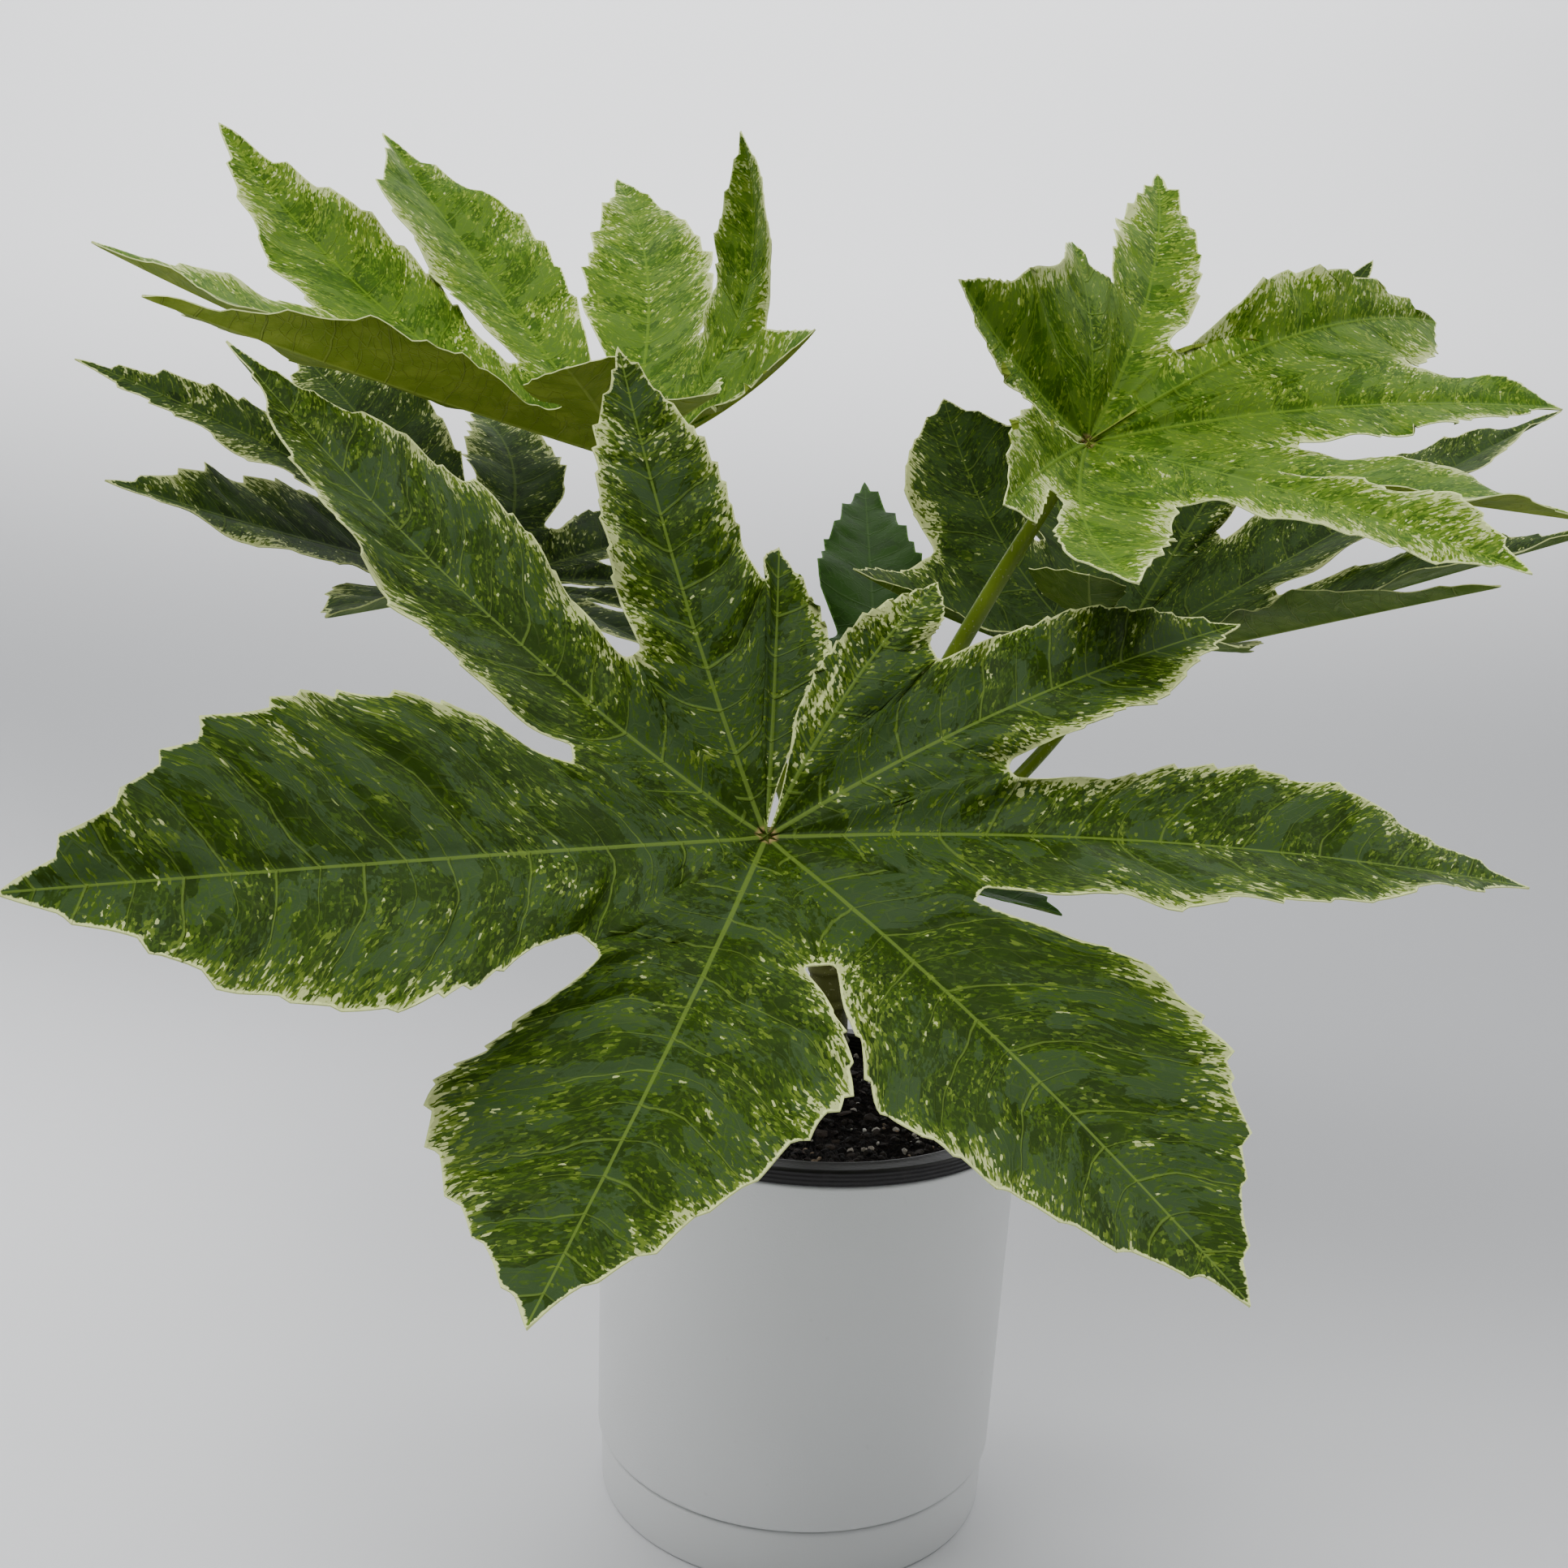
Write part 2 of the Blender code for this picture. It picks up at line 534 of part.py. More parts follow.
def build_leaves(dark, young):
    """Seven leaves. A petiole is its height on the stem, radius, bow, climb and turn at the
    blade; a lobe is its angle, length, half width, rise, droop, sweep and twist."""
    build_leaf(
        "leaf_front", dark, junction=(-17, -103, 227), pose=(-12, -31, -15),
        petiole=(184, 3.2, 0.35, 41, 0.5), teeth=6, web_rows=3, basal_lap=14,
        sinuses=(60, 61, 55, 55, 72, 54, 55, 57),
        lobes=[(-169, 82, 15, 40, -22, 15, -15), (-132, 134, 20, 28, -15, 9, 8),
               (-100, 178, 32, 17, -12, 6, 17), (-48, 153, 40, 14, -11, 3, 6),
               (2, 150, 38, 12, -7, 4, -22), (42, 176, 37, 20, 0, -2, 19),
               (98, 168, 32, 18, 16, 7, -25), (138, 132, 17, 27, 8, 5, 0),
               (166, 77, 14, 26, 8, -4, -16)])
    build_leaf(
        "leaf_upper_left", young, junction=(-68, 18, 321), pose=(-121, -6, -25),
        petiole=(190, 3.0, 0.5, 72, 0.3),
        sinuses=(46, 44, 47, 47, 61, 47, 45, 48),
        lobes=[(-159, 69, 14, 22, -5, 8), (-126, 75, 20, 34, -1, 9), (-87, 160, 29, 32, 4, 6),
               (-45, 156, 31, 34, 10, 2, 7), (1, 168, 27, 35, 20, 3, 10),
               (34, 156, 27, 34, 14, -9, -23), (72, 143, 24, 15, 24, -15),
               (135, 107, 22, 15, 73, -5, -6), (164, 73, 14, 9, 22)])
    build_leaf(
        "leaf_rear_left", dark, junction=(-111, 45, 279), pose=(-85, 11, -17),
        petiole=(178, 2.8, 0.3, 41, 0.5), cells=1,
        sinuses=(37, 40, 44, 42, 43, 35, 44, 37),
        lobes=[(-165, 50, 12, 13, -9), (-134, 85, 20, 13, -8), (-83, 133, 27, 15, -6, 10),
               (-47, 137, 27, 16, -3, 3, 10), (1, 144, 30, 22, -12, -2), (46, 143, 28, 18, -7),
               (81, 131, 27, 13, -8, -12), (134, 90, 20, 15, -9), (165, 50, 12, 14, -9)])
    build_leaf(
        "leaf_upper_right", young, junction=(70, -1, 330), pose=(126, -13, 55),
        petiole=(197, 3.8, 0.25, 50, 0.2),
        sinuses=(45, 48, 47, 99, 57, 43, 62, 51),
        lobes=[(-165, 69, 14, 14, 3, 3, 17), (-124, 58, 22, 36, -40, 12),
               (-64, 132, 23, 24, -29, -7, -11), (-32, 148, 25, 35, -21, 17, 13),
               (1, 143, 28, 44, -12, 5, 40), (47, 135, 27, 46, -2, 0, 20),
               (86, 141, 21, 49, -12, -7, -39), (121, 104, 20, 22, -5, -4, -20),
               (152, 67, 13, 9, -9, -22, 15)])
    build_leaf(
        "leaf_rear_right", dark, junction=(100, 92, 259), pose=(114, -3, 15),
        petiole=(165, 2.7, 0.3, 41, 0.5), cells=1,
        sinuses=(56, 56, 56, 56, 56, 56, 56, 50),
        lobes=[(-163, 101, 17, 12, -2, 2), (-128, 122, 27, 24, 26, 17, -9),
               (-81, 158, 32, 24, 3, 9), (-35, 216, 30, 42, 6, 9), (2, 198, 38, 34, 1, 2),
               (45, 161, 35, 33, 0, -2), (86, 173, 31, 27, -2, -1), (120, 147, 25, 22, -5, -13),
               (148, 83, 15, 25, -4, -16)])
    build_leaf(
        "leaf_behind", dark, junction=(18, 90, 249), pose=(182, 5, 0),
        petiole=(172, 2.7, 0.3, 41, 0.5), cells=1,
        sinuses=(34, 38, 38, 38, 38, 34),
        lobes=[(-138, 65, 16, 0, -12), (-95, 78, 22, 0, -25), (-48, 100, 25, 3, -30),
               (0, 132, 17, 30, -4), (48, 85, 23, 0, -40), (95, 58, 18, 0, -15),
               (138, 50, 14, 0, -12)])
    build_leaf(
        "leaf_young", dark, junction=(28, -8, 200), pose=(64, -8, 0),
        petiole=(207, 1.6, 0.3, 20, 0.3), cells=1, teeth=2,
        sinuses=(12, 14, 14, 12),
        lobes=[(-105, 26, 6, 8, -15), (-52, 40, 9, 8, -15), (0, 46, 10, 4, -4),
               (52, 40, 9, 8, -15), (105, 26, 6, 8, -15)])


def main():
    clear_scene()
    white = material("planter white", (0.80, 0.81, 0.80), 0.55)
    build_saucer(white)
    build_planter(white.copy())
    build_nursery_pot(material("nursery black", (0.02, 0.018, 0.018), 0.4))
    build_soil(material("soil", (0.035, 0.026, 0.02), 0.95))
    build_stem(material("stem olive", (0.16, 0.20, 0.06), 0.5))
    dark = material("leaf dark green", (0.05, 0.14, 0.04), 0.35)
    young = material("leaf young green", (0.22, 0.40, 0.10), 0.4)
    build_leaves(dark, young)


main()
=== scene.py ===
"""The look of a potted variegated fatsia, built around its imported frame.

Metres, +Z up, -Y towards the viewer. Leaf shapes are written in millimetres and degrees.
"""
import math

import bmesh
import bpy
import numpy as np
from mathutils import Matrix, Vector, kdtree


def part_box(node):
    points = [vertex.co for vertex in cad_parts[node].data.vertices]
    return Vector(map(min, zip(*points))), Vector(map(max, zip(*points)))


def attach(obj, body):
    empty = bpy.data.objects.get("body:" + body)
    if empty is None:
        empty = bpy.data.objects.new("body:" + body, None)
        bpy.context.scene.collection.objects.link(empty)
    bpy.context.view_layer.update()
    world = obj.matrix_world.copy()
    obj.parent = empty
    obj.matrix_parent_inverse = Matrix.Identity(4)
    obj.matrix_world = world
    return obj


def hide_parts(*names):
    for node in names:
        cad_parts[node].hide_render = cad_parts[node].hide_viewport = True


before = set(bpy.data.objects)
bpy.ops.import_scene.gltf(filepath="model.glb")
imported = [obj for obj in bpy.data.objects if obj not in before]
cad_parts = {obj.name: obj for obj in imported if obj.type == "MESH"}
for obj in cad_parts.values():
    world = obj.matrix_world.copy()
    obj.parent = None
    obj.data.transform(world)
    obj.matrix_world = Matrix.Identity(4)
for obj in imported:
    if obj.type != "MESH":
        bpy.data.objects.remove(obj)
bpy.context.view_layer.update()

# Viewpoint
# The photograph looks slightly down from just above the plant's middle, a little to its left,
# with the camera turned a little on its own axis.
CAMERA_PLACE = (-0.0134, -0.4721, 0.2974)
CAMERA_PITCH = 8.80
CAMERA_ROLL = 3.01
IMAGE_SIDE = 1932
FOCAL_LENGTH_IN_PIXELS = 1934
SENSOR = 36.0

camera_data = bpy.data.cameras.new("viewpoint")
camera_data.sensor_width = SENSOR
camera_data.sensor_height = SENSOR
camera_data.lens = SENSOR * FOCAL_LENGTH_IN_PIXELS / IMAGE_SIDE
camera_data.clip_start = 0.01
camera_data.clip_end = 50
camera = bpy.data.objects.new("viewpoint", camera_data)
bpy.context.collection.objects.link(camera)
turn_down = Matrix.Rotation(math.radians(90 - CAMERA_PITCH), 4, "X")
turn_over = Matrix.Rotation(math.radians(CAMERA_ROLL), 4, "Z")
camera.matrix_world = Matrix.Translation(CAMERA_PLACE) @ turn_down @ turn_over
bpy.context.scene.camera = camera

# Saucer and planter
# A plain white planter standing in its shallow saucer, both moulded in matt white plastic.
# Each is a turned shape: round lips, a soft bottom edge and a shadow line between the two.
SAUCER_RADIUS = 0.0614
SAUCER_WALL = 0.0020
SAUCER_FLOOR = 0.0026
SAUCER_CORNER = 0.0012
PLANTER_MOUTH_RADIUS = 0.0650
PLANTER_FOOT_RADIUS = 0.0626
PLANTER_WALL = 0.0025
PLANTER_UNDERSIDE = 0.0029
PLANTER_FLOOR = 0.0060
PLANTER_CORNER = 0.0030
DRAIN_RADIUS = 0.0070
SEAM = 0.00015
POT_SIDES = 160
planter_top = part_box("planter")[1][2]
saucer_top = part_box("saucer")[1][2]


def deselect():
    """Nothing selected and object mode, ready for the next piece."""
    if bpy.context.object and bpy.context.object.mode != "OBJECT":
        bpy.ops.object.mode_set(mode="OBJECT")
    bpy.ops.object.select_all(action="DESELECT")


def arc(radius, height, bend, start, end, steps=8):
    """Profile points of an arc about (radius, height), from one angle to another."""
    angles = [math.radians(start + (end - start) * i / steps) for i in range(steps + 1)]
    return [(radius + bend * math.cos(a), height + bend * math.sin(a)) for a in angles]


def turned_piece(name, profile):
    """A circle extruded ring by ring up a profile of (radius, height). A profile that ends
    where it starts is a closed ring; any other is closed with a flat face at both ends."""
    deselect()
    radius, height = profile[0]
    bpy.ops.mesh.primitive_circle_add(vertices=POT_SIDES, radius=radius, location=(0, 0, height))
    piece = bpy.context.object
    piece.name = name
    bpy.ops.object.transform_apply(location=True, rotation=False, scale=False)
    bpy.ops.object.mode_set(mode="EDIT")
    bpy.ops.mesh.select_mode(type="EDGE")
    bpy.ops.mesh.select_all(action="SELECT")
    for (r0, z0), (r1, z1) in zip(profile, profile[1:]):
        bpy.ops.mesh.extrude_edges_move(TRANSFORM_OT_translate={"value": (0, 0, z1 - z0)})
        bpy.ops.transform.resize(value=(r1 / r0, r1 / r0, 1), center_override=(0, 0, z1))
    bpy.ops.mesh.select_all(action="SELECT")
    bpy.ops.mesh.remove_doubles(threshold=0.000002)
    bpy.ops.mesh.select_all(action="DESELECT")
    bpy.ops.mesh.select_non_manifold()
    if piece.data.total_edge_sel:
        bpy.ops.mesh.fill_holes(sides=0)
    bpy.ops.mesh.select_all(action="SELECT")
    bpy.ops.mesh.normals_make_consistent(inside=False)
    bpy.ops.object.mode_set(mode="OBJECT")
    bpy.ops.object.shade_smooth_by_angle(angle=math.radians(35))
    return piece


def new_material(name, roughness, specular):
    """A material, its Principled shader and its node tree."""
    mat = bpy.data.materials.new(name)
    mat.use_nodes = True
    shader = mat.node_tree.nodes["Principled BSDF"]
    shader.inputs["Roughness"].default_value = roughness
    shader.inputs["Specular IOR Level"].default_value = specular
    return mat, shader, mat.node_tree


def add(tree, kind, values=(), **settings):
    """A node of a kind, with its settings, and its sockets set or linked from values."""
    node = tree.nodes.new(kind)
    for key, value in settings.items():
        setattr(node, key, value)
    for key, value in dict(values).items():
        if hasattr(value, "is_output"):
            tree.links.new(value, node.inputs[key])
        else:
            node.inputs[key].default_value = value
    return node


def maths(tree, operation, *values):
    """The result of a Math node."""
    return add(tree, "ShaderNodeMath", dict(enumerate(values)), operation=operation).outputs["Value"]


def ramp(tree, value, low, high):
    """0 below low, 1 above high, and smooth between; low may be the larger of the two."""
    values = {"Value": value, "From Min": low, "From Max": high}
    node = add(tree, "ShaderNodeMapRange", values, interpolation_type="SMOOTHSTEP", clamp=True)
    return node.outputs["Result"]


def spread(tree, value, low, high):
    """A value of 0 to 1 spread over the range from low to high."""
    values = {"Value": value, "To Min": low, "To Max": high}
    return add(tree, "ShaderNodeMapRange", values).outputs["Result"]


def blend_colour(tree, share, below, above):
    """Two colours, each three numbers or a socket, mixed by a share."""
    below, above = (c if hasattr(c, "is_output") else (*c, 1.0) for c in (below, above))
    values = {"Factor": share, "A": below, "B": above}
    return add(tree, "ShaderNodeMix", values, data_type="RGBA").outputs["Result"]


def tinted(tree, colour, tint, mask, strength):
    """A colour with a tint laid over it where a mask is set, at a strength."""
    return blend_colour(tree, maths(tree, "MULTIPLY", mask, strength), colour, tint)


def object_place(tree, **mapping):
    """The place on the piece itself, moved or stretched by a mapping where one is given."""
    place = add(tree, "ShaderNodeTexCoord").outputs["Object"]
    if not mapping:
        return place
    return add(tree, "ShaderNodeMapping", {"Vector": place, **mapping}).outputs["Vector"]


def noise(tree, place, scale, detail=2.0, roughness=0.5):
    """A 3-D noise value, about 0.5 on average."""
    values = {"Vector": place, "Scale": scale, "Detail": detail, "Roughness": roughness}
    return add(tree, "ShaderNodeTexNoise", values).outputs["Fac"]


def bumped(tree, shader, height, distance):
    """A bump from a height of 0 to 1 that stands for the distance."""
    node = add(tree, "ShaderNodeBump", {"Height": height, "Distance": distance, "Strength": 1.0})
    tree.links.new(node.outputs["Normal"], shader.inputs["Normal"])


def moulded_white(name, seed):
    """Matt white plastic: an even grain, a faint cloudiness and a few specks of dust."""
    mat, shader, tree = new_material(name, 0.5, 0.35)
    place = object_place(tree, Location=(seed, 0, 0))
    cloud = noise(tree, place, 22, 3)
    grain = noise(tree, place, 1900, 2)
    speck = ramp(tree, noise(tree, place, 260, 1), 0.74, 0.80)
    white = blend_colour(tree, cloud, (0.70, 0.71, 0.70), (0.76, 0.77, 0.765))
    white = tinted(tree, white, (0.45, 0.43, 0.40), speck, 0.10)
    tree.links.new(white, shader.inputs["Base Color"])
    tree.links.new(spread(tree, cloud, 0.42, 0.58), shader.inputs["Roughness"])
    bumped(tree, shader, maths(tree, "ADD", grain, maths(tree, "MULTIPLY", cloud, 0.6)), 0.00006)
    return mat


middle = 0.0004
inner = SAUCER_RADIUS - SAUCER_WALL
corner = SAUCER_RADIUS - 0.0008 - SAUCER_CORNER
profile = [(middle, 0), (corner, 0)] + arc(corner, SAUCER_CORNER, SAUCER_CORNER, -75, 0, 5)
profile += arc(SAUCER_RADIUS - SAUCER_WALL / 2, saucer_top - SAUCER_WALL / 2, SAUCER_WALL / 2, 0, 180)
profile += [(inner, SAUCER_FLOOR + 0.0014)]
profile += arc(inner - SAUCER_CORNER, SAUCER_FLOOR + SAUCER_CORNER, SAUCER_CORNER, 0, -90, 4)
profile += [(middle, SAUCER_FLOOR)]
saucer = turned_piece("saucer_dish", profile)
saucer.data.materials.append(moulded_white("saucer_white", 0.3))
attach(saucer, "root")
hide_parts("saucer")

foot = SAUCER_RADIUS - 0.0030
inner = foot - PLANTER_WALL
step_height = saucer_top + SEAM
half_wall = PLANTER_WALL / 2
profile = [(DRAIN_RADIUS, PLANTER_UNDERSIDE)]
profile += arc(foot - 0.0010, PLANTER_UNDERSIDE + 0.0010, 0.0010, -90, 0, 4)
profile += [(foot, step_height), (SAUCER_RADIUS - 0.0020, step_height)]
profile += arc(PLANTER_FOOT_RADIUS - PLANTER_CORNER, step_height + PLANTER_CORNER, PLANTER_CORNER, -78, 0)
profile += arc(PLANTER_MOUTH_RADIUS - half_wall, planter_top - half_wall, half_wall, 0, 180)
profile += [(PLANTER_FOOT_RADIUS - PLANTER_WALL, 0.0300), (inner, step_height + 0.0010)]
profile += [(inner, PLANTER_FLOOR), (DRAIN_RADIUS, PLANTER_FLOOR), profile[0]]
planter = turned_piece("planter_body", profile)
planter.data.materials.append(moulded_white("planter_white_plastic", 0.7))
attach(planter, "root")
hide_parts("planter")

# Nursery pot
# The thin black pot the plant was grown in, vacuum-formed from polypropylene. Its rolled lip
# rests on the planter's edge, so that only a narrow satin band of it shows.
NURSERY_RADIUS = 0.0595
NURSERY_BASE_RADIUS = 0.0500
NURSERY_WALL = 0.0012
NURSERY_UNDERSIDE = 0.0063
NURSERY_CORNER = 0.0020
LIP_CURL = 0.0012
lip_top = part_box("nursery_pot")[1][2]
lip_under = planter_top + 0.0003
lip_radius = PLANTER_MOUTH_RADIUS + 0.0003
inner = NURSERY_RADIUS - NURSERY_WALL
corner = NURSERY_BASE_RADIUS - NURSERY_CORNER
floor_top = NURSERY_UNDERSIDE + NURSERY_WALL
profile = [(DRAIN_RADIUS, NURSERY_UNDERSIDE), (corner, NURSERY_UNDERSIDE)]
profile += arc(corner, NURSERY_UNDERSIDE + NURSERY_CORNER, NURSERY_CORNER, -80, 0, 4)
profile += [(NURSERY_RADIUS, lip_under), (lip_radius, lip_under)]
profile += arc(lip_radius - 0.0011, lip_top - LIP_CURL, 0.0011, 0, 78, 6)
profile += [(inner + 0.0026, lip_top - 0.0004)]
profile += arc(inner + LIP_CURL, lip_top - LIP_CURL, LIP_CURL, 80, 180, 6)
profile += [(inner - 0.0004, lip_top - 0.0060)]
profile += [(NURSERY_BASE_RADIUS - NURSERY_WALL, NURSERY_UNDERSIDE + 0.003)]
profile += [(corner - 0.001, floor_top), (DRAIN_RADIUS, floor_top), profile[0]]
nursery_pot = turned_piece("nursery_pot_shell", profile)
mat, shader, tree = new_material("nursery_black_plastic", 0.45, 0.30)
place = object_place(tree)
rings = add(tree, "ShaderNodeTexWave", {"Vector": place, "Scale": 260.0, "Distortion": 0.6},
            bands_direction="Z").outputs["Fac"]
scuff = ramp(tree, noise(tree, place, 140, 4, 0.7), 0.55, 0.75)
black = tinted(tree, (0.008, 0.007, 0.007), (0.030, 0.027, 0.025), scuff, 0.5)
tree.links.new(black, shader.inputs["Base Color"])
tree.links.new(spread(tree, scuff, 0.38, 0.60), shader.inputs["Roughness"])
bumped(tree, shader, maths(tree, "ADD", rings, noise(tree, place, 900)), 0.00008)
nursery_pot.data.materials.append(mat)
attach(nursery_pot, "root")
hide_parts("nursery_pot")

# Soil
# Dark peat around the roots, darkened further by painted shade, filled to just under the lip and a little
# heaped at the stem.
# White perlite, greyed by painted shade, tan grit and bark crumbs lie loose in it and on it.
SOIL_LEVEL = 0.1205
POT_WALL_SLOPE = 0.0830
SOIL_EDGE = 0.004
CRUMB_HEIGHT = 0.00035
STEM_FOOT = (0.0065, 0.0350)
STEM_CLEARANCE = 0.0075
soil_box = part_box("soil")
soil_radius = (soil_box[1][0] - soil_box[0][0]) / 2 - 0.0001
soil_bottom = soil_box[0][2]
soil_random = np.random.default_rng(11)


def soil_height(x, y):
    """The uneven top of the soil, a little heaped towards the stem."""
    wave = 0.0007 * math.sin(95 * x + 1.0) * math.cos(120 * y) + 0.0005 * math.sin(210 * x - 160 * y)
    fine = 0.0003 * math.sin(610 * x + 2.0 * math.sin(430 * y)) * math.sin(570 * y + 1.3)
    heap = 0.0012 * math.exp(-((x - STEM_FOOT[0]) ** 2 + (y - STEM_FOOT[1]) ** 2) / 0.0004)
    return SOIL_LEVEL + wave + fine + heap


deselect()
bpy.ops.mesh.primitive_circle_add(vertices=96, radius=soil_radius, fill_type="TRIFAN",
                                  location=(0, 0, SOIL_LEVEL))
soil = bpy.context.object
soil.name = "soil_top"
bpy.ops.object.transform_apply(location=True, rotation=False, scale=False)
bpy.ops.object.mode_set(mode="EDIT")
bpy.ops.mesh.select_all(action="SELECT")
bpy.ops.mesh.subdivide(number_cuts=20)
bpy.ops.mesh.select_all(action="DESELECT")
bpy.ops.mesh.select_non_manifold()
soil_depth = SOIL_LEVEL - soil_bottom
taper = 1 - POT_WALL_SLOPE * soil_depth / soil_radius
bpy.ops.mesh.extrude_edges_move(TRANSFORM_OT_translate={"value": (0, 0, -soil_depth)})
bpy.ops.transform.resize(value=(taper, taper, 1), center_override=(0, 0, soil_bottom))
bpy.ops.mesh.fill_holes(sides=0)
bpy.ops.mesh.select_all(action="SELECT")
bpy.ops.mesh.normals_make_consistent(inside=False)
bpy.ops.object.mode_set(mode="OBJECT")
for vertex in soil.data.vertices:
    x, y, z = vertex.co
    inside = min(1.0, (soil_radius - math.hypot(x, y)) / SOIL_EDGE)
    if z > SOIL_LEVEL - 0.001 and inside > 0.001:
        crumb = soil_random.normal(0, CRUMB_HEIGHT)
        vertex.co.z = SOIL_LEVEL + (soil_height(x, y) + crumb - SOIL_LEVEL) * inside
bpy.ops.object.shade_smooth_by_angle(angle=math.radians(60))
# Its finish is moist peat: nearly black, with brown fibres and a rough broken surface.
# Its colours are darkened further as painted shade, for the shade of the leaves over the pot.
mat, shader, tree = new_material("peat", 0.9, 0.25)
crumbs = add(tree, "ShaderNodeTexVoronoi", {"Vector": object_place(tree), "Scale": 620.0}).outputs
fibres = noise(tree, object_place(tree, Scale=(1, 3.2, 2)), 420, 4, 0.7)
colour = blend_colour(tree, ramp(tree, fibres, 0.42, 0.68), (0.004, 0.0032, 0.003), (0.020, 0.013, 0.009))
colour = tinted(tree, colour, (0.16, 0.11, 0.07), ramp(tree, crumbs["Color"], 0.93, 0.97), 0.35)
tree.links.new(colour, shader.inputs["Base Color"])
height = maths(tree, "SUBTRACT", fibres, maths(tree, "MULTIPLY", crumbs["Distance"], 0.8))
bumped(tree, shader, height, 0.0012)
soil.data.materials.append(mat)
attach(soil, "root")
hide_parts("soil")


def mesh_piece(name, points, faces):
    """A piece made of points and faces."""
    mesh = bpy.data.meshes.new(name)
    mesh.from_pydata([tuple(p) for p in points], [], faces)
    piece = bpy.data.objects.new(name, mesh)
    bpy.context.collection.objects.link(piece)
    return piece


def loose_crumbs(name, count, size, flatness, colours, roughness):
    """Irregular small lumps strewn on the soil, as one piece made of copies of a rough ball."""
    deselect()
    bpy.ops.mesh.primitive_ico_sphere_add(subdivisions=1, radius=1)
    model = bpy.context.object
    ball = np.array([vertex.co[:] for vertex in model.data.vertices])
    ball_faces = [tuple(face.vertices) for face in model.data.polygons]
    bpy.data.objects.remove(model, do_unlink=True)
    points = []
    faces = []
    while len(points) < count * len(ball):
        reach = soil_radius * 0.97 * math.sqrt(soil_random.random())
        angle = soil_random.uniform(0, 2 * math.pi)
        x, y = reach * math.cos(angle), reach * math.sin(angle)
        if math.hypot(x - STEM_FOOT[0], y - STEM_FOOT[1]) < STEM_CLEARANCE:
            continue
        radius = size * soil_random.uniform(0.45, 1.0)
        lump = ball * soil_random.uniform(0.7, 1.3, (len(ball), 1))
        lump = lump * (1, soil_random.uniform(0.55, 1), flatness * soil_random.uniform(0.7, 1.3))
        spin = Matrix.Rotation(soil_random.uniform(0, 6.28), 3, "Z")
        tip = Matrix.Rotation(soil_random.normal(0, 0.45), 3, "X")
        lump = lump @ np.array(tip).T @ np.array(spin).T * radius
        base = len(points)
        points += [p + (x, y, soil_height(x, y) + radius * 0.15 * flatness) for p in lump]
        faces += [tuple(base + i for i in face) for face in ball_faces]
    piece = mesh_piece(name, points, faces)
    mat, shader, tree = new_material(name + "_finish", roughness, 0.3)
    place = object_place(tree)
    light, dark, pit = colours
    colour = blend_colour(tree, ramp(tree, noise(tree, place, 180, 1), 0.35, 0.65), light, dark)
    pits = noise(tree, place, 1500, 3)
    colour = tinted(tree, colour, pit, ramp(tree, pits, 0.6, 0.3), 0.5)
    tree.links.new(colour, shader.inputs["Base Color"])
    bumped(tree, shader, pits, 0.0003)
    piece.data.materials.append(mat)
    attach(piece, "root")


loose_crumbs("soil_lumps", 900, 0.0016, 0.8,
             ((0.006, 0.005, 0.0045), (0.016, 0.011, 0.008), (0.003, 0.0025, 0.002)), 0.9)
# The perlite's white is dimmed to grey as painted shade, for the shade of the leaves over the pot.
loose_crumbs("perlite", 120, 0.0014, 0.8,
             ((0.45, 0.43, 0.39), (0.28, 0.25, 0.21), (0.12, 0.10, 0.08)), 0.85)
loose_crumbs("grit", 90, 0.0010, 0.8,
             ((0.22, 0.16, 0.10), (0.11, 0.075, 0.045), (0.05, 0.035, 0.02)), 0.8)
loose_crumbs("bark", 110, 0.0030, 0.30,
             ((0.028, 0.018, 0.012), (0.014, 0.010, 0.007), (0.006, 0.004, 0.003)), 0.85)

# Stem
# One green stem that leans a little. Old leaves left ring-shaped scars low on it, and the
# newest leaves' stalks crowd around the pointed bud at its top.
STEM_TOP = (0.0016, 0.0320)
STEM_RADIUS = 0.0064
SCAR_HEIGHTS = (0.1240, 0.1330, 0.1460, 0.1580, 0.1690)
SCAR_RING = 0.0007
SCAR_GROOVE = 0.0003
BUD_FOOT = 0.2000
stem_top_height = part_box("stem")[1][2]
stem_root_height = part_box("stem")[0][2]


def stem_axis(height):
    """The middle of the stem at a height."""
    share = (height - SOIL_LEVEL) / (stem_top_height - SOIL_LEVEL)
    x = STEM_FOOT[0] + (STEM_TOP[0] - STEM_FOOT[0]) * share
    y = STEM_FOOT[1] + (STEM_TOP[1] - STEM_FOOT[1]) * share
    return np.array([x, y, height])


def tube_mesh(path, radii, sides, ribs, rib_count, first_normal=None):
    """Points and faces of a closed round tube along a path, with ribs along it."""
    path = np.array(path, float)
    tangents = np.gradient(path, axis=0)
    if first_normal is not None:
        tangents[0] = first_normal
    points = []
    side = np.array([1.0, 0.0, 0.0])
    for centre, tangent, radius in zip(path, tangents, radii):
        tangent = tangent / np.linalg.norm(tangent)
        side = side - tangent * side.dot(tangent)
        side = side / np.linalg.norm(side)
        other = np.cross(tangent, side)
        for i in range(sides):
            angle = 2 * math.pi * i / sides
            r = radius * (1 + ribs * math.cos(rib_count * angle))
            points.append(centre + r * (math.cos(angle) * side + math.sin(angle) * other))
    last = (len(path) - 1) * sides
    faces = [tuple(reversed(range(sides)))]
    for a in range(0, last, sides):
        for i in range(sides):
            j = (i + 1) % sides
            faces.append((a + i, a + j, a + sides + j, a + sides + i))
    faces.append(tuple(range(last, last + sides)))
    return points, faces


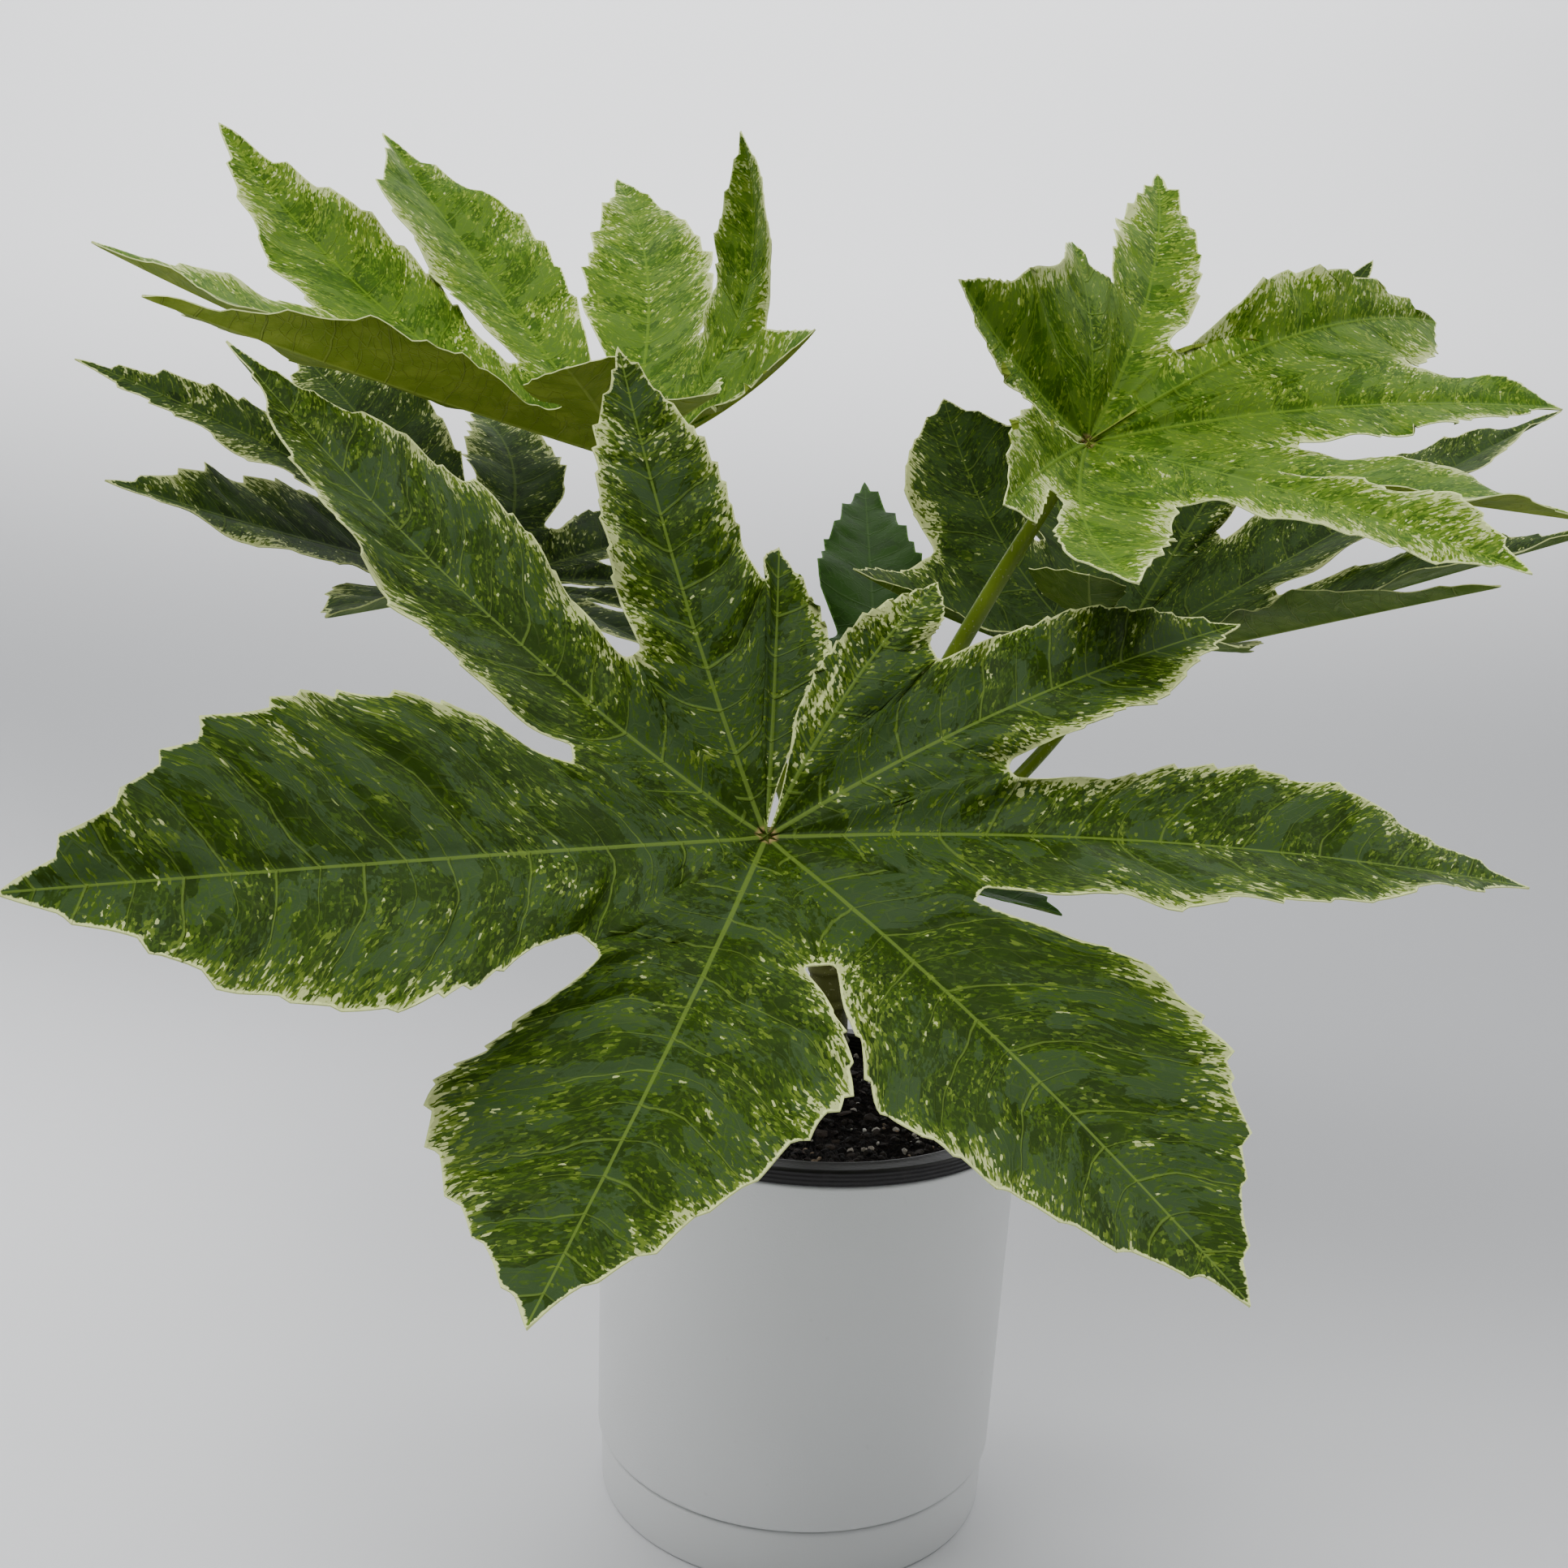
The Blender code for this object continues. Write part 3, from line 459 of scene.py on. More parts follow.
heights = np.linspace(stem_root_height, stem_top_height, 170)
radii = []
for height in heights:
    radius = STEM_RADIUS + 0.0008 * max(0, (0.135 - height) / 0.05)
    for scar in SCAR_HEIGHTS:
        radius += SCAR_RING * math.exp(-((height - scar) / 0.0008) ** 2)
        radius -= SCAR_GROOVE * math.exp(-((height - scar - 0.0018) / 0.0009) ** 2)
    bud = max(0, (height - BUD_FOOT) / (stem_top_height - BUD_FOOT))
    radii.append(radius * max(0.08, 1 - bud ** 1.6) ** 0.8)
stem_path = [stem_axis(height) for height in heights]
stem = mesh_piece("stem_body", *tube_mesh(stem_path, radii, sides=28, ribs=0.02, rib_count=7))
stem.data.shade_smooth()


def green_stalk(name, low, high, roughness):
    """The skin of stem and stalks: olive green with fine lengthwise streaks and pale dots."""
    mat, shader, tree = new_material(name, roughness, 0.18)
    place = object_place(tree)
    streaks = noise(tree, object_place(tree, Scale=(1, 1, 0.08)), 900, 3, 0.6)
    colour = blend_colour(tree, ramp(tree, noise(tree, place, 45, 3), 0.35, 0.65), low, high)
    pale = (high[0] * 1.5, high[1] * 1.4, high[2] * 1.6)
    colour = tinted(tree, colour, pale, ramp(tree, streaks, 0.55, 0.75), 0.35)
    dots = ramp(tree, noise(tree, place, 1100, 0), 0.72, 0.78)
    colour = tinted(tree, colour, (0.34, 0.33, 0.16), dots, 0.4)
    tree.links.new(colour, shader.inputs["Base Color"])
    bumped(tree, shader, maths(tree, "ADD", streaks, dots), 0.0001)
    return mat


stem.data.materials.append(green_stalk("stem_skin", (0.060, 0.068, 0.013), (0.115, 0.125, 0.027), 0.5))
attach(stem, "root")
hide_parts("stem")

# Leaves
# Seven palmate leaves, each one blade with its long round stalk. A blade is a leathery sheet
# cut into five to nine toothed lobes, pillowed between its veins, with a raised midrib in each
# lobe. Its green is clouded with grey and lime, the grey partly a painted bluish sheen, and
# flecked and edged with cream. The rear leaves wear a darker copy of the skin as painted shade,
# and the two upper leaves' pale green is brightened further as painted light.
MM = 0.001
# The midrib lies in a shallow trough and stands out of both faces, more on the lower one.
BLADE_THICKNESS = 0.00055
MIDRIB_TROUGH = 0.0006
MIDRIB_ABOVE = 0.00045
MIDRIB_BELOW = 0.00110
# Each half of a lobe folds up by FOLD degrees, softly at the midrib, and narrows to its tip.
FOLD = 12.0
FOLD_SOFTNESS = 0.0016
TIP_POWER = 1.15
TIP_SLIMMING = 0.22
LIMIT_SOFTNESS = 0.0015
# A midrib is stored in even steps, and the blade's first cells beside it are narrow ones.
LOBE_STEPS = 80
MIDRIB_CELLS = (0.0, 0.012, 0.03, 0.06, 0.10)
# Between lobes the blade is one web. Its rows leave the midrib within a share of the way to
# the notch, and beyond the notch the two lobes' surfaces part over WEB_FADE.
WEB_END = 0.65
WEB_FADE = 0.032
# A notch is a rounded bowl, NOTCH_ROUND mm in radius unless a leaf says otherwise, that closes
# to a narrow gap further out. The gap at the stalk is cut deeper, and its sides lap a little.
NOTCH_BOWL = 0.0036
NOTCH_CLOSING = 0.022
NOTCH_EVEN_REACH = 0.014
NOTCH_ROUND = 2.5
NOTCH_ROWS = (0.0012, 0.004, 0.009, 0.015)
BASAL_ROUND = 0.0006
BASAL_DEPTH = 0.45
BASAL_REACH = 1.15
# Where the first tooth starts between notch and tip, and where a tooth stands out most and
# how deep it is, as shares of its own length.
FIRST_TOOTH = 0.18
TOOTH_PEAK = 0.80
TOOTH_DEPTH = 0.22
DEEPEST_TOOTH = 0.0030
MARGIN_WAVE = 0.0011
# Side veins, in mm: how far apart they leave the midrib, and how they slope and bend.
VEIN_PITCH = 25.0
VEIN_CROWDING = 0.0016
VEIN_SLOPE = 0.38
VEIN_BEND = 0.0125


class Lobe:
    """One lobe: its midrib bent in space, and the blade's surface on both sides of it. Its
    values are angle, length, half width, rise, droop, sweep and twist, in mm and degrees."""

    def __init__(self, angle, length, width, rise, droop, sweep=0, twist=0):
        self.angle = angle
        self.length = length * MM
        self.width = width * MM
        self.twist = math.radians(twist)
        share = np.linspace(0, 1, LOBE_STEPS + 1)
        turn = np.radians(angle + sweep * share)
        lift = np.radians(rise + droop * share)
        flat = np.stack([np.sin(turn), np.cos(turn), 0 * turn], -1)
        up = np.array([0.0, 0.0, 1.0])
        self.along = flat * np.cos(lift)[:, None] + up * np.sin(lift)[:, None]
        self.normal = up * np.cos(lift)[:, None] - flat * np.sin(lift)[:, None]
        self.side = np.stack([np.cos(turn), -np.sin(turn), 0 * turn], -1)
        middles = (self.along[1:] + self.along[:-1]) / 2
        self.midrib = np.vstack([np.zeros(3), np.cumsum(middles, axis=0) * self.length / LOBE_STEPS])

    def at(self, values, s):
        """Values along the midrib at the distances s, between its stored steps."""
        place = np.clip(s / self.length, 0, 1) * LOBE_STEPS
        low = np.minimum(place.astype(int), LOBE_STEPS - 1)
        part = (place - low)[..., None]
        return values[low] * (1 - part) + values[low + 1] * part

    def surface(self, s, t):
        """The blade's points s along the midrib and t across it."""
        turned_by = (self.twist * np.clip(s / self.length, 0, 1))[..., None]
        side = self.at(self.side, s)
        normal = self.at(self.normal, s)
        across = side * np.cos(turned_by) + normal * np.sin(turned_by)
        lift = normal * np.cos(turned_by) - side * np.sin(turned_by)
        fold = math.radians(FOLD)
        rounded = (np.sqrt(t * t + FOLD_SOFTNESS * FOLD_SOFTNESS) - FOLD_SOFTNESS)[..., None]
        point = self.at(self.midrib, s) + self.along[0] * np.minimum(s, 0)[..., None]
        return point + across * t[..., None] * math.cos(fold) + lift * rounded * math.sin(fold)


def tooth_outline(u):
    """A tooth over its pitch: a slow swelling to its point, then a short drop into the notch."""
    rise = np.clip(u / TOOTH_PEAK, 0, 1) ** 1.3
    drop = np.clip((1 - u) / (1 - TOOTH_PEAK), 0, 1)
    return np.where(u < TOOTH_PEAK, rise, drop)


class FineBlade:
    """A leaf's blade as a fine grid of points, with what its finish needs at every point."""

    def __init__(self, lobes, notches, seed, widest, teeth=7, rows=(14, 46), cells=11, basal_lap=0,
                 rounds=None, closing=None, lean=None):
        """Notches are the notches' distances and rounds their radii, in mm, one for each. Closing
        and lean hold the few notches that close sooner or lean to one side. Widest is where
        along a lobe it is widest, and rows are those of the web and those beyond the notch."""
        self.lobes = [Lobe(*lobe) for lobe in lobes]
        self.notches = np.array(notches) * MM
        self.rounds = np.array(rounds or [NOTCH_ROUND] * len(notches)) * MM
        self.closing = closing or {}
        self.lean = lean or {}
        self.widest = widest
        self.teeth = teeth
        self.basal_lap = math.radians(basal_lap)
        self.random = np.random.default_rng(seed)
        self.web_rows, free_rows = rows
        self.web = np.arange(1, self.web_rows + 1) / self.web_rows
        even = np.linspace(0, 1, free_rows + 1)[1:]
        self.free = np.array([*NOTCH_ROWS, *(x for x in even if x > 0.018)])
        rest = 0.10 + 0.90 * np.linspace(0, 1, cells - 3)[1:] ** 0.92
        self.across = np.array([*MIDRIB_CELLS, *rest])
        self.points = [np.zeros((1, 3))]
        self.flat = [np.zeros((1, 2))]
        self.place = [np.zeros((1, 3))]
        self.lift = [np.zeros(1)]
        self.count = 1
        self.faces = []
        self.half = []
        self.margin = []
        self.web_edges = {}
        for k in range(len(lobes)):
            self.add_lobe(k)

    def share_of_gap(self, k, side):
        """How much of the angle between a lobe and its neighbour is its own: half, unless the
        notch between them leans."""
        lean = self.lean.get(k if side > 0 else k - 1, 0.5)
        return lean if side > 0 else 1 - lean

    def gap(self, k, side):
        """The neighbour beyond a side of a lobe, the lobe's own angle up to their notch, and the
        notch's distance. The outermost lobes have none beyond, only the gap at the stalk."""
        other = k + side
        if 0 <= other < len(self.lobes):
            angle = abs(self.lobes[other].angle - self.lobes[k].angle) * self.share_of_gap(k, side)
            return other, math.radians(angle), self.notches[min(k, other)]
        half = math.radians(360 - self.lobes[-1].angle + self.lobes[0].angle) / 2
        return None, half * BASAL_REACH, BASAL_DEPTH * self.notches[k - (1 if k else 0)]

    def side_limit(self, k, side, s):
        """How wide one side of a lobe may be at s before it reaches its neighbour."""
        beyond = self.lobes[(k + side) % len(self.lobes)]
        own = self.lobes[k].at(self.lobes[k].midrib, s)[:, :2]
        near = beyond.at(beyond.midrib, s)[:, :2]
        reach = np.linalg.norm(own, axis=1)
        cosine = (own * near).sum(1) / (reach * np.linalg.norm(near, axis=1))
        angle = np.arccos(np.clip(cosine, -1, 1))
        if 0 <= k + side < len(self.lobes):
            return reach * np.tan(angle * self.share_of_gap(k, side))
        return reach * np.tan(angle / 2 + self.basal_lap)

    def surface(self, k, other, s, t, share):
        """Points of a lobe, mixed with its neighbour's surface by a share."""
        own = self.lobes[k].surface(s, t)
        if other is None:
            return own
        turn = math.radians(self.lobes[other].angle - self.lobes[k].angle)
        s_other = s * math.cos(turn) + t * math.sin(turn)
        t_other = t * math.cos(turn) - s * math.sin(turn)
        return own * (1 - share[..., None]) + self.lobes[other].surface(s_other, t_other) * share[..., None]

    def store(self, k, points, s, t, lift):
        """Adds points with their places, and returns their numbers in the same layout."""
        lobe = self.lobes[k]
        angle = math.radians(lobe.angle)
        flat = np.stack([s * math.sin(angle) + t * math.cos(angle),
                         s * math.cos(angle) - t * math.sin(angle)], -1)
        numbers = self.count + np.arange(s.size).reshape(s.shape)
        self.points.append(points.reshape(-1, 3))
        self.flat.append(flat.reshape(-1, 2))
        self.place.append(np.stack([s / MM, np.abs(t) / MM, s / lobe.length], -1).reshape(-1, 3))
        self.lift.append(lift.reshape(-1))
        self.count += s.size
        return numbers

    def add_lobe(self, k):
        """The midrib's points, and both sides of the lobe."""
        lobe = self.lobes[k]
        gaps = [self.gap(k, side) for side in (1, -1)]
        web_end = WEB_END * max(radius * math.cos(half) for _, half, radius in gaps)
        stations = np.concatenate([web_end * self.web, web_end + (lobe.length - web_end) * self.free])
        zero = np.zeros_like(stations)
        midrib = self.store(k, lobe.surface(stations, zero), stations, zero, zero)
        for side in (1, -1):
            self.add_side(k, side, stations, midrib)

    def uneven_teeth(self, length):
        """Moves rows of the margin onto the points and notches of one side's teeth, and returns
        the rows and how far each stands out."""
        pitch = (1 - FIRST_TOOTH) / self.teeth
        uneven = self.random.uniform(-0.3, 0.3, self.teeth + 1)
        starts = FIRST_TOOTH + pitch * (np.arange(self.teeth + 1) + uneven)
        starts[-1] = 1.0
        gaps = np.diff(starts)
        x = self.free.copy()
        for mark in [*starts[:-1], *(starts[:-1] + TOOTH_PEAK * gaps)]:
            x[np.abs(x[:-1] - mark).argmin()] = mark
        which = np.clip(np.searchsorted(starts, x, side="right") - 1, 0, self.teeth - 1)
        depth = np.minimum(TOOTH_DEPTH * gaps * length, DEEPEST_TOOTH)
        depth = depth * self.random.uniform(0.35, 1.25, self.teeth)
        out = depth[which] * (tooth_outline((x - starts[which]) / gaps[which]) - 0.3)
        out = out * np.clip((x - FIRST_TOOTH / 2) / FIRST_TOOTH, 0, 1) * np.clip((1 - x) / 0.09, 0, 1)
        return x, np.where(x < starts[0], 0, out)

    def margin_width(self, k, side, edge_s, x, tooth_out):
        """How wide one side of a lobe is at each row of its margin: its natural outline, held
        back by its neighbour, with the bowl of the notch and the teeth."""
        lobe = self.lobes[k]
        other, half, radius = self.gap(k, side)
        notch_t = radius * math.sin(half)
        length = lobe.length - radius * math.cos(half)
        notch = None if other is None else min(k, other)
        power = TIP_POWER * self.widest / (1 - self.widest)
        peak = self.widest ** power * (1 - self.widest) ** TIP_POWER
        width = min(lobe.width, 0.6 * length)
        slim = 1 - TIP_SLIMMING * np.exp(-((1 - x) / 0.16) ** 2)
        natural = width * slim * x ** power * (1 - x) ** TIP_POWER / peak + notch_t * (1 - x) ** 6
        beyond = length * x / math.cos(half)
        round_end = BASAL_ROUND if notch is None else self.rounds[notch]
        opening = round_end * np.sqrt(np.clip(1 - (1 - np.clip(beyond / round_end, 0, 1)) ** 2, 0, 1))
        closing = self.closing.get(notch, NOTCH_CLOSING)
        opening = opening * (0.16 + 0.84 * np.exp(-(beyond / closing) ** 2)) / math.cos(half)
        edge_s = edge_s[self.web_rows:]
        limit = self.side_limit(k, side, edge_s)
        if notch is not None:
            even = edge_s * math.tan(half)
            limit = even + (limit - even) * (1 - np.exp(-beyond / NOTCH_EVEN_REACH))
            bowl = np.sqrt(1 - (1 - np.clip(beyond / NOTCH_BOWL, 0, 1)) ** 2)
            natural = limit - (limit - natural) * bowl
        limit = limit - opening
        edge_t = (natural + limit - np.sqrt((natural - limit) ** 2 + LIMIT_SOFTNESS * LIMIT_SOFTNESS)) / 2
        edge_t = np.maximum(edge_t, 0.15 * natural)
        start = np.exp(-beyond / 0.0006)
        edge_t = np.maximum(edge_t * (1 - start) + notch_t * start + tooth_out, 0)
        web = self.web if notch is not None else self.web ** 1.7
        edge_t = np.concatenate([notch_t * web, edge_t])
        edge_t[-1] = 0
        return edge_t

    def add_side(self, k, side, stations, midrib):
        """One side of a lobe, as a grid from the midrib to the margin. Neighbours share the
        edge of the web between them."""
        lobe, web = self.lobes[k], self.web_rows
        other, half, radius = self.gap(k, side)
        notch_s = radius * math.cos(half)
        length = lobe.length - notch_s
        x, tooth_out = self.uneven_teeth(length)
        edge_s = np.concatenate([notch_s * self.web, notch_s + length * x])
        edge_t = self.margin_width(k, side, edge_s, x, tooth_out)
        edge_s[web:] += np.maximum(tooth_out, 0) * 0.7
        fade = np.clip(1 - length * x / min(WEB_FADE, length * 0.9), 0, 1)
        mix = np.concatenate([np.full(web, 0.5), 0.5 * fade ** 2])
        if other is None:
            mix = mix * 0
        v = self.across[1:]
        s = stations[:-1, None] + (edge_s[:-1, None] - stations[:-1, None]) * v[None, :] ** 1.4
        t = side * edge_t[:-1, None] * v[None, :]
        share_mix = mix[:-1, None] * (v * v * (3 - 2 * v))[None, :]
        phase = self.random.uniform(0, 2 * math.pi)
        wave = np.sin(s / 0.0062 + phase) + 0.6 * np.sin(s / 0.0037 + 2 * phase)
        free_part = np.clip((s - notch_s * 0.8) / 0.02, 0, 1) * np.clip((lobe.length - s) / 0.02, 0, 1)
        lift = MARGIN_WAVE * wave * v[None, :] ** 2.5 * free_part
        grid = self.surface(k, other, s, t, share_mix)
        numbers = np.full((len(stations), len(v) + 1), -1)
        numbers[:, 0] = midrib
        notch = None if other is None else min(k, other)
        if notch in self.web_edges:
            numbers[:-1, 1:-1] = self.store(k, grid[:, :-1], s[:, :-1], t[:, :-1], lift[:, :-1])
            numbers[:web, -1] = self.web_edges[notch]
            numbers[web:-1, -1] = self.store(k, grid[web:, -1], s[web:, -1], t[web:, -1], lift[web:, -1])
        else:
            numbers[:-1, 1:] = self.store(k, grid, s, t, lift)
            if notch is not None:
                self.web_edges[notch] = numbers[:web, -1]
        first = 0 if other is None else web - 1
        self.margin += list(numbers[first:-1, -1]) + [midrib[-1]]
        faces = self.join(numbers, side)
        self.faces += faces
        self.half += [0.37 * k + (0.5 if side > 0 else 0.0)] * len(faces)

    @staticmethod
    def join(numbers, side):
        """Triangles from the middle of the leaf to the tip, over one side of a lobe."""
        faces = [(0, a, b) for a, b in zip(numbers[0], numbers[0, 1:])]
        a, b = numbers[:-2, :-1].ravel(), numbers[:-2, 1:].ravel()
        d, e = numbers[1:-1, :-1].ravel(), numbers[1:-1, 1:].ravel()
        faces += [*zip(a, b, e), *zip(a, e, d)]
        faces += [(a, b, numbers[-1, 0]) for a, b in zip(numbers[-2], numbers[-2, 1:])]
        if side < 0:
            faces = [(a, c, b) for a, b, c in faces]
        return [tuple(int(i) for i in face) for face in faces]


def sheet_normals(points, faces):
    """Each point's normal from the triangles around it."""
    a, b, c = points[faces[:, 0]], points[faces[:, 1]], points[faces[:, 2]]
    area = np.cross(b - a, c - a)
    normals = np.zeros_like(points)
    for corner in range(3):
        np.add.at(normals, faces[:, corner], area)
    return normals / np.maximum(np.linalg.norm(normals, axis=1), 1e-12)[:, None]


def vein_phase(s, t, x, y):
    """Counts a lobe's side veins from the middle of the leaf outwards. Each leaves the midrib,
    curves towards the tip and wavers a little, and they crowd together there. In mm."""
    foot = s - VEIN_SLOPE * t - VEIN_BEND * t * t
    waver = 1.1 * np.sin(0.13 * x + 0.07 * y + 1.0) + 0.9 * np.sin(0.11 * y - 0.16 * x + 2.3)
    waver += 0.45 * np.sin(0.37 * x + 0.21 * y) * np.sin(0.31 * y - 0.12 * x)
    foot = foot + waver * np.clip(t / 8, 0, 1)
    return foot / VEIN_PITCH * (1 + VEIN_CROWDING * np.maximum(foot, 0))


def thick_blade(blade, pillow):
    """The closed blade: pillowed between its veins, ribs on both faces, thin at the margin."""
    points = np.concatenate(blade.points)
    flat = np.concatenate(blade.flat)
    place = np.concatenate(blade.place)
    lift = np.concatenate(blade.lift)
    faces = np.array(blade.faces)
    tree = kdtree.KDTree(len(blade.margin))
    for i in blade.margin:
        tree.insert((flat[i][0], flat[i][1], 0), int(i))
    tree.balance()
    edge = np.array([tree.find((x, y, 0))[2] for x, y in flat]) / MM
    edge[blade.margin] = 0
    shift = np.zeros(len(points))
    shift[faces.ravel()] = np.repeat(blade.half, 3)
    s, t, along = place.T
    count = vein_phase(s, t, flat[:, 0] / MM, flat[:, 1] / MM)
    phase = count + shift
    panel = np.abs(np.sin(math.pi * phase)) ** 0.8 + 0.25 * np.abs(np.sin(2 * math.pi * phase))
    uneven = 0.75 + 0.35 * np.sin(2.1 * np.floor(phase) + 9 * shift)
    reach = np.clip(t / 7, 0, 1) * np.clip(edge / 5, 0.1, 1) * np.clip((s - 12) / 20, 0, 1)
    height = pillow * MM * reach * uneven * (panel - 0.8)
    height -= MIDRIB_TROUGH * np.exp(-(t / 2.4) ** 2) * np.clip(s / 8, 0, 1)
    normals = sheet_normals(points, faces)
    points = points + normals * (height + lift)[:, None]
    normals = sheet_normals(points, faces)
    rib_width = 0.95 - 0.65 * along
    rib = np.exp(-(t / rib_width) ** 2) * (1 - 0.8 * along)
    thickness = BLADE_THICKNESS * np.clip(0.55 + edge / 3, 0, 1)
    upper = points + normals * (thickness / 2 + MIDRIB_ABOVE * rib)[:, None]
    lower = points - normals * (thickness / 2 + MIDRIB_BELOW * rib)[:, None]
    total = len(points)
    directed = set()
    for a, b, c in blade.faces:
        directed |= {(a, b), (b, c), (c, a)}
    rim = []
    for a, b in sorted(directed):
        if (b, a) not in directed:
            rim += [(b, a, a + total), (b, a + total, b + total)]
    under = [(c + total, b + total, a + total) for a, b, c in blade.faces]
    place = np.stack([s, t, count], -1)
    border = np.stack([edge, along, 0 * edge], -1)
    return np.vstack([upper, lower]), blade.faces + under + rim, place, border


def leaf_axes(heading, tilt, roll):
    """Columns: across, along the middle lobe, and up from the blade. Heading is from -Y to +X."""
    h, t, r = (math.radians(v) for v in (heading, tilt, roll))
    along = np.array([math.sin(h) * math.cos(t), -math.cos(h) * math.cos(t), math.sin(t)])
    level = np.array([-math.sin(h) * math.sin(t), math.cos(h) * math.sin(t), math.cos(t)])
    up = level * math.cos(r) + np.cross(along, level) * math.sin(r)
    return np.stack([np.cross(along, up), along, up], -1)


def stalk_mesh(attach_height, radius, bow, climb, turn_in, junction, blade_up):
    """The stalk from a clasping base on the stem to the underside of the blade."""
    axis = stem_axis(attach_height)
    outward = junction - axis
    outward[2] = 0
    outward = outward / np.linalg.norm(outward)
    start = axis + outward * (STEM_RADIUS - 0.0006)
    end = junction - blade_up * 0.0002
    reach = np.linalg.norm(end - start)
    climb = math.radians(climb)
    leave = (outward * math.cos(climb) + np.array([0, 0, 1.0]) * math.sin(climb)) * reach * bow
    arrive = (blade_up * turn_in + (end - start) / reach * (1 - turn_in)) * reach * 0.3
    q = np.linspace(0, 1, 64)[:, None]
    path = ((1 - q) ** 3 * start + 3 * (1 - q) ** 2 * q * (start + leave)
            + 3 * (1 - q) * q * q * (end - arrive) + q ** 3 * end)
    q = q[:, 0]
    radii = radius * (1 + 0.45 * np.exp(-q * 9) - 0.35 * q ** 3 + 0.30 * np.exp(-q * 40)
                      + 0.35 * np.exp(-((1 - q) / 0.012) ** 2))
    return tube_mesh(path, radii, sides=20, ribs=0.025, rib_count=5, first_normal=outward)


NUMBER, VECTOR = "NodeSocketFloat", "NodeSocketVector"


def new_group(name, inputs):
    """A new shader node group: its tree, and the sockets that its inputs come from."""
    tree = bpy.data.node_groups.new(name, "ShaderNodeTree")
    for socket, kind in inputs.items():
        tree.interface.new_socket(socket, in_out="INPUT", socket_type=kind)
    return tree, tree.nodes.new("NodeGroupInput").outputs


def put_out(tree, values):
    """Gives a group its outputs, each with its name and the value that it puts out."""
    for name, value in values.items():
        kind = VECTOR if value.type == "VECTOR" else NUMBER
        tree.interface.new_socket(name, in_out="OUTPUT", socket_type=kind)
    sockets = tree.nodes.new("NodeGroupOutput").inputs
    for name, value in values.items():
        tree.links.new(value, sockets[name])


def make_vein_group():
    """Masks of the midrib, the side veins and the fine net, and a layout that follows the side
    veins. Place is (along the lobe, across it, side veins counted), and the border is (distance
    to the margin, share of the lobe). In mm."""
    inputs = {"Place": VECTOR, "Border": VECTOR, "Half": NUMBER, "Object": VECTOR}
    tree, given = new_group("leaf veins", inputs)
    parts = add(tree, "ShaderNodeSeparateXYZ", {0: given["Place"]}).outputs
    s, t, count = parts["X"], parts["Y"], parts["Z"]
    along = add(tree, "ShaderNodeSeparateXYZ", {0: given["Border"]}).outputs["Y"]
    phase = maths(tree, "ADD", count, given["Half"])
    taper = maths(tree, "MULTIPLY_ADD", t, -0.007, 0.40)

    def lines(offset, width):
        """Lines where the phase plus an offset is half past a whole number, thinner towards the
        margin."""
        moved = maths(tree, "ADD", phase, offset)
        away = maths(tree, "ABSOLUTE", maths(tree, "SUBTRACT", maths(tree, "FRACT", moved), 0.5))
        away = maths(tree, "MULTIPLY", away, VEIN_PITCH * 0.75)
        return ramp(tree, maths(tree, "DIVIDE", away, maths(tree, "MULTIPLY", taper, width)), 1.3, 0.4)

    beyond = ramp(tree, count, 0.10, 0.35)
    main = maths(tree, "MULTIPLY", lines(0.5, 1.0), beyond)
    minor = maths(tree, "MULTIPLY", maths(tree, "MULTIPLY", lines(0.0, 0.55), beyond), ramp(tree, t, 24, 10))
    side = maths(tree, "MAXIMUM", main, maths(tree, "MULTIPLY", minor, 0.7))
    object_parts = add(tree, "ShaderNodeSeparateXYZ", {0: given["Object"]}).outputs
    drift = maths(tree, "ADD", object_parts["X"], maths(tree, "ADD", object_parts["Y"], object_parts["Z"]))
    layout = add(tree, "ShaderNodeCombineXYZ",
                 {0: maths(tree, "MULTIPLY", count, 24.0), 1: maths(tree, "MULTIPLY", t, 0.70),
                  2: maths(tree, "MULTIPLY", drift, 60.0)}).outputs[0]
    net = add(tree, "ShaderNodeTexVoronoi", {"Vector": layout, "Scale": 0.24, "Randomness": 0.9},
              feature="DISTANCE_TO_EDGE").outputs["Distance"]
    net = maths(tree, "MULTIPLY", ramp(tree, net, 0.06, 0.015), ramp(tree, t, 1.5, 5))
    rib = maths(tree, "MULTIPLY_ADD", along, -0.50, 0.72)
    put_out(tree, {"Hub": ramp(tree, s, 3.4, 1.6),
                   "Midrib": ramp(tree, maths(tree, "DIVIDE", t, rib), 1.25, 0.75),
                   "Side veins": side, "Net": net, "Layout": layout})
    return tree


